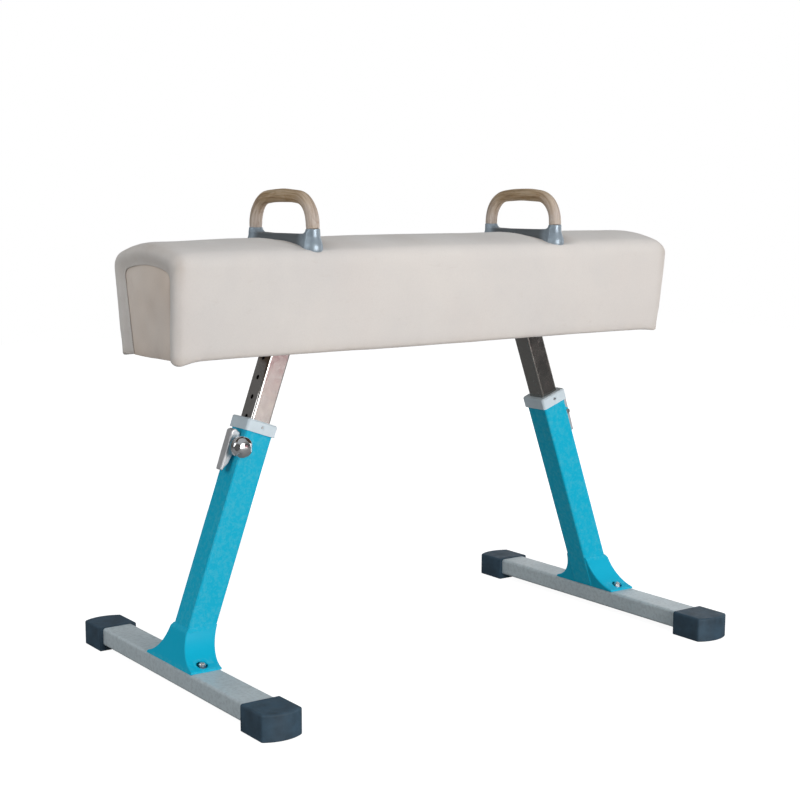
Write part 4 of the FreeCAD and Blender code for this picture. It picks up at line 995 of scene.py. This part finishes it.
def make_grip(name, px, seed):
    path, L = arch_path()
    n, nr = len(path), 32
    s = np.r_[0, np.cumsum(np.linalg.norm(np.diff(path, axis=0), axis=1))]
    t = np.gradient(path, axis=0)
    t /= np.linalg.norm(t, axis=1)[:, None]
    nn = np.c_[-t[:, 1], t[:, 0]]
    V, G, A = [], [], []
    for i in range(n):
        u = (s[i] - s[-1] / 2)
        f = abs(u) / (s[-1] / 2)
        end = min(s[i], s[-1] - s[i])
        r = 17.0 + 0.35 * math.sin(u / 31.0 + seed) + 0.25 * math.sin(u / 13.0 + 2 * seed) - 0.5 * math.exp(-((end / 3.0) ** 2))
        for k in range(nr):
            a = 2 * math.pi * k / nr
            rr = r * (1 + 0.008 * math.sin(3 * a + seed))
            lx, ln = rr * math.cos(a), rr * math.sin(a)
            V.append((px + lx, path[i, 0] + nn[i, 0] * ln, path[i, 1] + nn[i, 1] * ln))
            G.append((s[i] * MM + seed, lx * MM + seed * 0.31, ln * MM))
            A.append(f)
    F = grid_faces(n, nr, close_cols=True)
    for end_i in (0, n - 1):
        V.append((px, path[end_i, 0], path[end_i, 1] + 0.2))
        G.append((s[end_i] * MM + seed, seed * 0.31, 0))
        A.append(1.0)
        c = len(V) - 1
        for k in range(nr):
            a, b = end_i * nr + k, end_i * nr + (k + 1) % nr
            F.append((a, b, c) if end_i else (b, a, c))
    ob = build(name, V, F, M_GRIP, attrs={"grain": np.array(G), "along": np.array(A)})
    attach(ob, "horse")
    return ob


for side, px, seed in (("left", -406.5, 1.0), ("right", 406.5, 2.3)):
    g = make_grip(side + "_grip_bar", px, seed)
    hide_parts(side + "_pommel_grip")


# ------------------------------------------------------------------ pommel bases
def base_field(X, Y, Z):
    """Cast saddle with two sockets on round feet, centred on x = 0."""
    ay = np.abs(Y)
    under = base_under(ay) - 3.0
    top = 1162.5 + 1.5 * sstep(ay, 60, 120)
    flare = sstep(1160.0 - Z, 0.0, 20.0)
    saddle = smax(np.abs(X) - (18.0 + 5.0 * flare), Z - top, 4.0)
    saddle = smax(saddle, ay - 141.0, 2.0)
    dish = np.sqrt((X / 12.0) ** 2 + ((Z - 1166.0) / 9.0) ** 2 + (np.maximum(ay - 62.0, 0.0) / 40.0) ** 2)
    saddle = smax(saddle, (1.0 - dish) * 9.0, 3.0)
    r = np.hypot(X, ay - 140.6)
    foot = smax(r - (18.2 + 7.9 * sstep(1160.0 - Z, 0.0, 30.0) - 1.2 * sstep(1126.0 - Z, 0.0, 10.0)), Z - 1176.0, 0.6)
    body = smin(saddle, foot, 13.0)
    body = smax(body, Z - 1176.0, 0.6)
    body = smax(body, under - Z, 1.0)
    return body


bv, bf = surface_nets(base_field, (-36, -178, 1104), (36, 178, 1181), 1.25)
for side, px in (("left", -406.5), ("right", 406.5)):
    v = bv.copy()
    v[:, 0] += px
    ob = build(side + "_base_casting", v, bf, M_POMMEL)
    sm = ob.modifiers.new("Smooth", "SMOOTH")
    sm.factor, sm.iterations = 0.5, 3
    apply_modifiers(ob)
    q = np.abs(coords(ob) / MM)
    # painted shade mask: darkest in the saddle between the sockets, some along the bottom by the leather
    dark = 0.88 * (1 - sstep(q[:, 1], 92, 128)) + 0.25 * (1 - sstep(q[:, 2], 1118, 1130))
    ob.data.attributes.new("saddle_shade", "FLOAT", "POINT").data.foreach_set("value", np.clip(dark, 0, 1).astype(np.float32))
    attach(ob, "horse")
    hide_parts(side + "_pommel_base")

# ------------------------------------------------------------------ leg frame
LEAN = math.radians(19.83)


def leg_to_world(P, side):
    """Leg frame (u inwards, y, s up the leg) to the row frame, millimetres. The right leg is the left turned half round."""
    P = np.asarray(P, float)
    u, y, s = P[:, 0], P[:, 1], P[:, 2]
    x = -718.0 + u * math.cos(LEAN) + s * math.sin(LEAN)
    z = 68.0 - u * math.sin(LEAN) + s * math.cos(LEAN)
    w = np.c_[x, y, z]
    if side == "right":
        w[:, :2] *= -1
    return w


def outline_distance(pts, r, y):
    """Signed distance from (r, y) to a closed outline, negative inside."""
    best = np.full(r.shape, 1e9)
    inside = np.zeros(r.shape, bool)
    for (r0, y0), (r1, y1) in zip(pts, pts[1:] + pts[:1]):
        dr, dy = r1 - r0, y1 - y0
        t = np.clip(((r - r0) * dr + (y - y0) * dy) / (dr * dr + dy * dy), 0, 1)
        best = np.minimum(best, (r - r0 - t * dr) ** 2 + (y - y0 - t * dy) ** 2)
        hit = ((y0 > y) != (y1 > y)) & (r < r0 + (y - y0) / (y1 - y0 if y1 != y0 else 1.0) * dr)
        inside ^= hit
    return np.where(inside, -1.0, 1.0) * np.sqrt(best)


KNOB = [(0.0, -40.8), (25.6, -40.8), (27.4, -42.0), (28.3, -44.0), (28.9, -46.5), (29.25, -49.5), (29.4, -52.5), (29.2, -56.0), (28.6, -59.2),
        (27.4, -62.2), (25.6, -65.1), (23.2, -67.6), (20.2, -69.6), (16.6, -71.4), (12.4, -72.7), (8.0, -73.5), (4.0, -73.9), (0.0, -74.0)]


def knob_field(U, Y, S):
    """Ball nut with six tilted flats and a short neck, screwed on the pivot stud. Leg frame."""
    r = np.hypot(U + 48.0, S - 569.0)
    ball = outline_distance(KNOB, r, Y)
    tilt = math.radians(47.0)
    for k in range(6):
        az = math.radians(60.0 * k + 15.0)
        reach = (U + 48.0) * math.cos(az) * math.cos(tilt) + (S - 569.0) * math.sin(az) * math.cos(tilt) - (Y + 52.0) * math.sin(tilt) - 25.5
        ball = smax(ball, reach, 0.7)
    neck = smax(smax(r - 7.6, Y + 23.8, 0.4), -60.0 - Y, 0.4)
    body = smin(ball, neck, 2.0)
    bore = np.maximum(r - 5.06, -55.0 - Y)
    return smax(body, -bore, 0.3)


kv, kf = surface_nets(knob_field, (-80, -76, 537), (-16, -20, 601), 0.7)


def make_knob(name, side):
    ob = build(name, leg_to_world(kv, side), kf, M_KNOB)
    sm = ob.modifiers.new("Smooth", "SMOOTH")
    sm.factor, sm.iterations = 0.5, 2
    apply_modifiers(ob)
    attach(ob, side + "_knob")
    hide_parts(side + "_clamp_knob")
    return ob


for side in ("left", "right"):
    make_knob(side + "_knob_chrome", side)


# ------------------------------------------------------------------ latch levers
def lever_field(U, Y, S):
    """Cast rocker: head over the plunger, pivot boss, long finger arm. Leg frame."""
    s = S - 569.0
    outer = -67.0 + 10.0 * sstep(s, 34, 46) + 0.6 * np.sin(np.clip(s + 70, 0, 110) / 110 * math.pi)
    inner = np.where(s > -1, -40.8, -40.8 - 8.4 * np.clip(-s / 44.0, 0, 1) - 9.6 * sstep(-s, 44, 70))
    body = smax(outer - U, U - inner, 2.5)
    body = smax(body, s - (43.0 - 6.0 * sstep(U, -62, -42)), 5.0)
    body = smax(body, -71.5 - s, 4.0)
    halfw = 15.0 - 2.2 * sstep(-s, 20, 70)
    body = smax(body, np.abs(Y) - halfw, 3.5)
    pocket = np.maximum(np.maximum(np.abs(Y) - 9.3, np.abs(s - 29.2) - 10.7), np.maximum(-63.0 - U, U + 30))
    body = smax(body, -pocket, 0.6)
    hole = np.hypot(U + 48.0, s) - 5.1
    body = smax(body, -hole, 0.5)
    relief = smax(np.abs(Y) - 8.5 + 0.08 * np.abs(s + 30), np.abs(s + 32.0) - 26.0, 3.0)
    relief = smax(relief, (-68.8 + 2.2) - U + 0 * U, 1.5) * 1.0
    groove = smax(relief, U - (-66.0), 1.5)
    body = smax(body, -groove, 1.2)
    return body


lv, lf = surface_nets(lever_field, (-72, -19, 490), (-36, 19, 618), 0.9)
for side in ("left", "right"):
    ob = build(side + "_lever_casting", leg_to_world(lv, side), lf, M_CAST)
    sm = ob.modifiers.new("Smooth", "SMOOTH")
    sm.factor, sm.iterations = 0.5, 2
    apply_modifiers(ob)
    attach(ob, side + "_latch")
    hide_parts(side + "_latch_lever")


# ------------------------------------------------------------------ staples under the body
def make_staples():
    V, F = [], []

    def rod(p, q, r=0.55, n=6):
        p, q = np.asarray(p, float), np.asarray(q, float)
        t = (q - p) / np.linalg.norm(q - p)
        a = np.cross(t, (0, 0, 1.0))
        if np.linalg.norm(a) < 1e-3:
            a = np.cross(t, (1.0, 0, 0))
        a /= np.linalg.norm(a)
        b = np.cross(t, a)
        base = len(V)
        for e in (p, q):
            for k in range(n):
                ang = 2 * math.pi * k / n
                V.append(e + a * r * math.cos(ang) + b * r * math.sin(ang))
        for k in range(n):
            F.append((base + k, base + (k + 1) % n, base + n + (k + 1) % n, base + n + k))
        F.append(tuple(base + k for k in range(n))[::-1])
        F.append(tuple(base + n + k for k in range(n)))

    rng = np.random.RandomState(7)
    for sy in (-1, 1):
        for x in np.arange(-720, 721, 38.0):
            cx, cy, a = x + rng.uniform(-4, 4), sy * (112.0 + rng.uniform(-2, 2)), rng.uniform(-0.25, 0.25)
            d = np.array([math.cos(a), math.sin(a), 0]) * 5.5
            c = np.array([cx, cy, 861.2])
            rod(c - d, c + d)
    ob = build("hem_staples", V, F, M_ZINC)
    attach(ob, "horse")


make_staples()

# ------------------------------------------------------------------ finishes of the carried-over nodes
FINISH = {
    "core_": M_PLY, "bottom_panel_screws": M_ZINC, "bottom_panel": M_HARD, "leg_socket": M_ZINC, "socket_": M_ZINC, "right_inner_tube": M_TUBE_R_SHADED, "inner_tube": M_TUBE,
    "glide_plug": M_BUSH, "guide_bush": M_BUSH, "pommel_bolts": M_ZINC, "pommel_anchor": M_ZINC, "pommel_nuts": M_ZINC, "pommel_base": M_POMMEL,
    "pommel_grip": M_GRIP, "outer_tube": M_TEAL, "collar_screws": M_ZINC, "collar": M_COLLAR, "latch_lugs": M_TEAL, "pivot_stud": M_ZINC,
    "plunger_bush": M_ZINC, "foot_beam": M_GREY, "foot_cap": M_RUBBER, "foot_bracket": M_TEAL, "foot_bolts": M_ZINC, "foot_nuts": M_ZINC,
    "latch_lever": M_CAST, "index_plunger": M_ZINC, "clamp_knob": M_KNOB, "foam_padding": M_FOAM, "leather_cover": M_COVER, "end_panel": M_PANEL,
}
for name, ob in NODES.items():
    key = next(k for k in FINISH if k in name)
    if not ob.material_slots:
        ob.data.materials.append(FINISH[key])
    for s in ob.material_slots:
        s.material = FINISH[key]

# ------------------------------------------------------------------ floor
fl = Mat("floor")
fl.color(fl.mix(fl.noise(3.0, 3.0), (0.29, 0.29, 0.29), (0.33, 0.33, 0.33)))
fl.set(Roughness=0.9, Specular_IOR_Level=0.1)
glow = fl.node("ShaderNodeEmission", {"Color": (1, 1, 1, 1), "Strength": 0.93})
seen = fl.node("ShaderNodeLightPath").outputs["Is Camera Ray"]
lit = fl.node("ShaderNodeMixShader", {0: seen})
add = fl.node("ShaderNodeAddShader")
fl.t.links.new(fl.b.outputs[0], add.inputs[0])
fl.t.links.new(glow.outputs[0], add.inputs[1])
fl.t.links.new(fl.b.outputs[0], lit.inputs[1])
fl.t.links.new(add.outputs[0], lit.inputs[2])
fl.t.links.new(lit.outputs[0], fl.out.inputs[0])
floor = build("floor", [(-9000, -9000, -0.5), (9000, -9000, -0.5), (9000, 9000, -0.5), (-9000, 9000, -0.5)], [(0, 1, 2, 3)], fl.m, smooth=False)


def card(name, centre, along, width, reach, height, color, glow=0.0):
    """A matt studio reflector: lies on the floor when height is 0, stands when reach is 0. The camera doesn't see it."""
    c, a = Vector(centre), Vector(along).normalized()
    side = Vector((-a.y, a.x, 0.0)) * width / 2
    if height:
        q = [c - side, c + side, c + side + Vector((0, 0, height)), c - side + Vector((0, 0, height))]
    else:
        q = [c - side, c + side, c + side + a * reach, c - side + a * reach]
    cm = Mat(name)
    cm.color(cm.mix(cm.noise(2.5, 3.0), color, tuple(v * 0.8 for v in color)))
    cm.set(Roughness=0.95, Specular_IOR_Level=0.0, Emission_Color=(*color, 1), Emission_Strength=glow)
    o = build(name, [tuple(v * 1000) for v in q], [(0, 1, 2, 3)], cm.m, smooth=False)
    o.visible_camera = False


card("reflector_low", (1.5, -3.7, 0.004), (0.5, -0.86, 0), 1.6, 2.4, 0, (0.85, 0.82, 0.76), 0.55)
card("reflector_warm", (2.62, -5.45, 0.0), (0.5, -0.86, 0), 2.2, 0, 1.0, (0.42, 0.20, 0.24), 0.4)
card("backdrop_right", (4.6, 2.2, 0.3), (0.9, 0.43, 0), 4.2, 0, 2.4, (0.9, 0.9, 0.9), 0.9)
card("window_right", (4.3, -1.5, 0.1), (1.0, 0.12, 0), 2.2, 0, 2.2, (0.9, 0.9, 0.9), 0.8)
card("floor_right", (1.0, 0.9, 0.004), (0.87, 0.49, 0), 3.0, 4.0, 0, (0.9, 0.9, 0.9), 0.9)
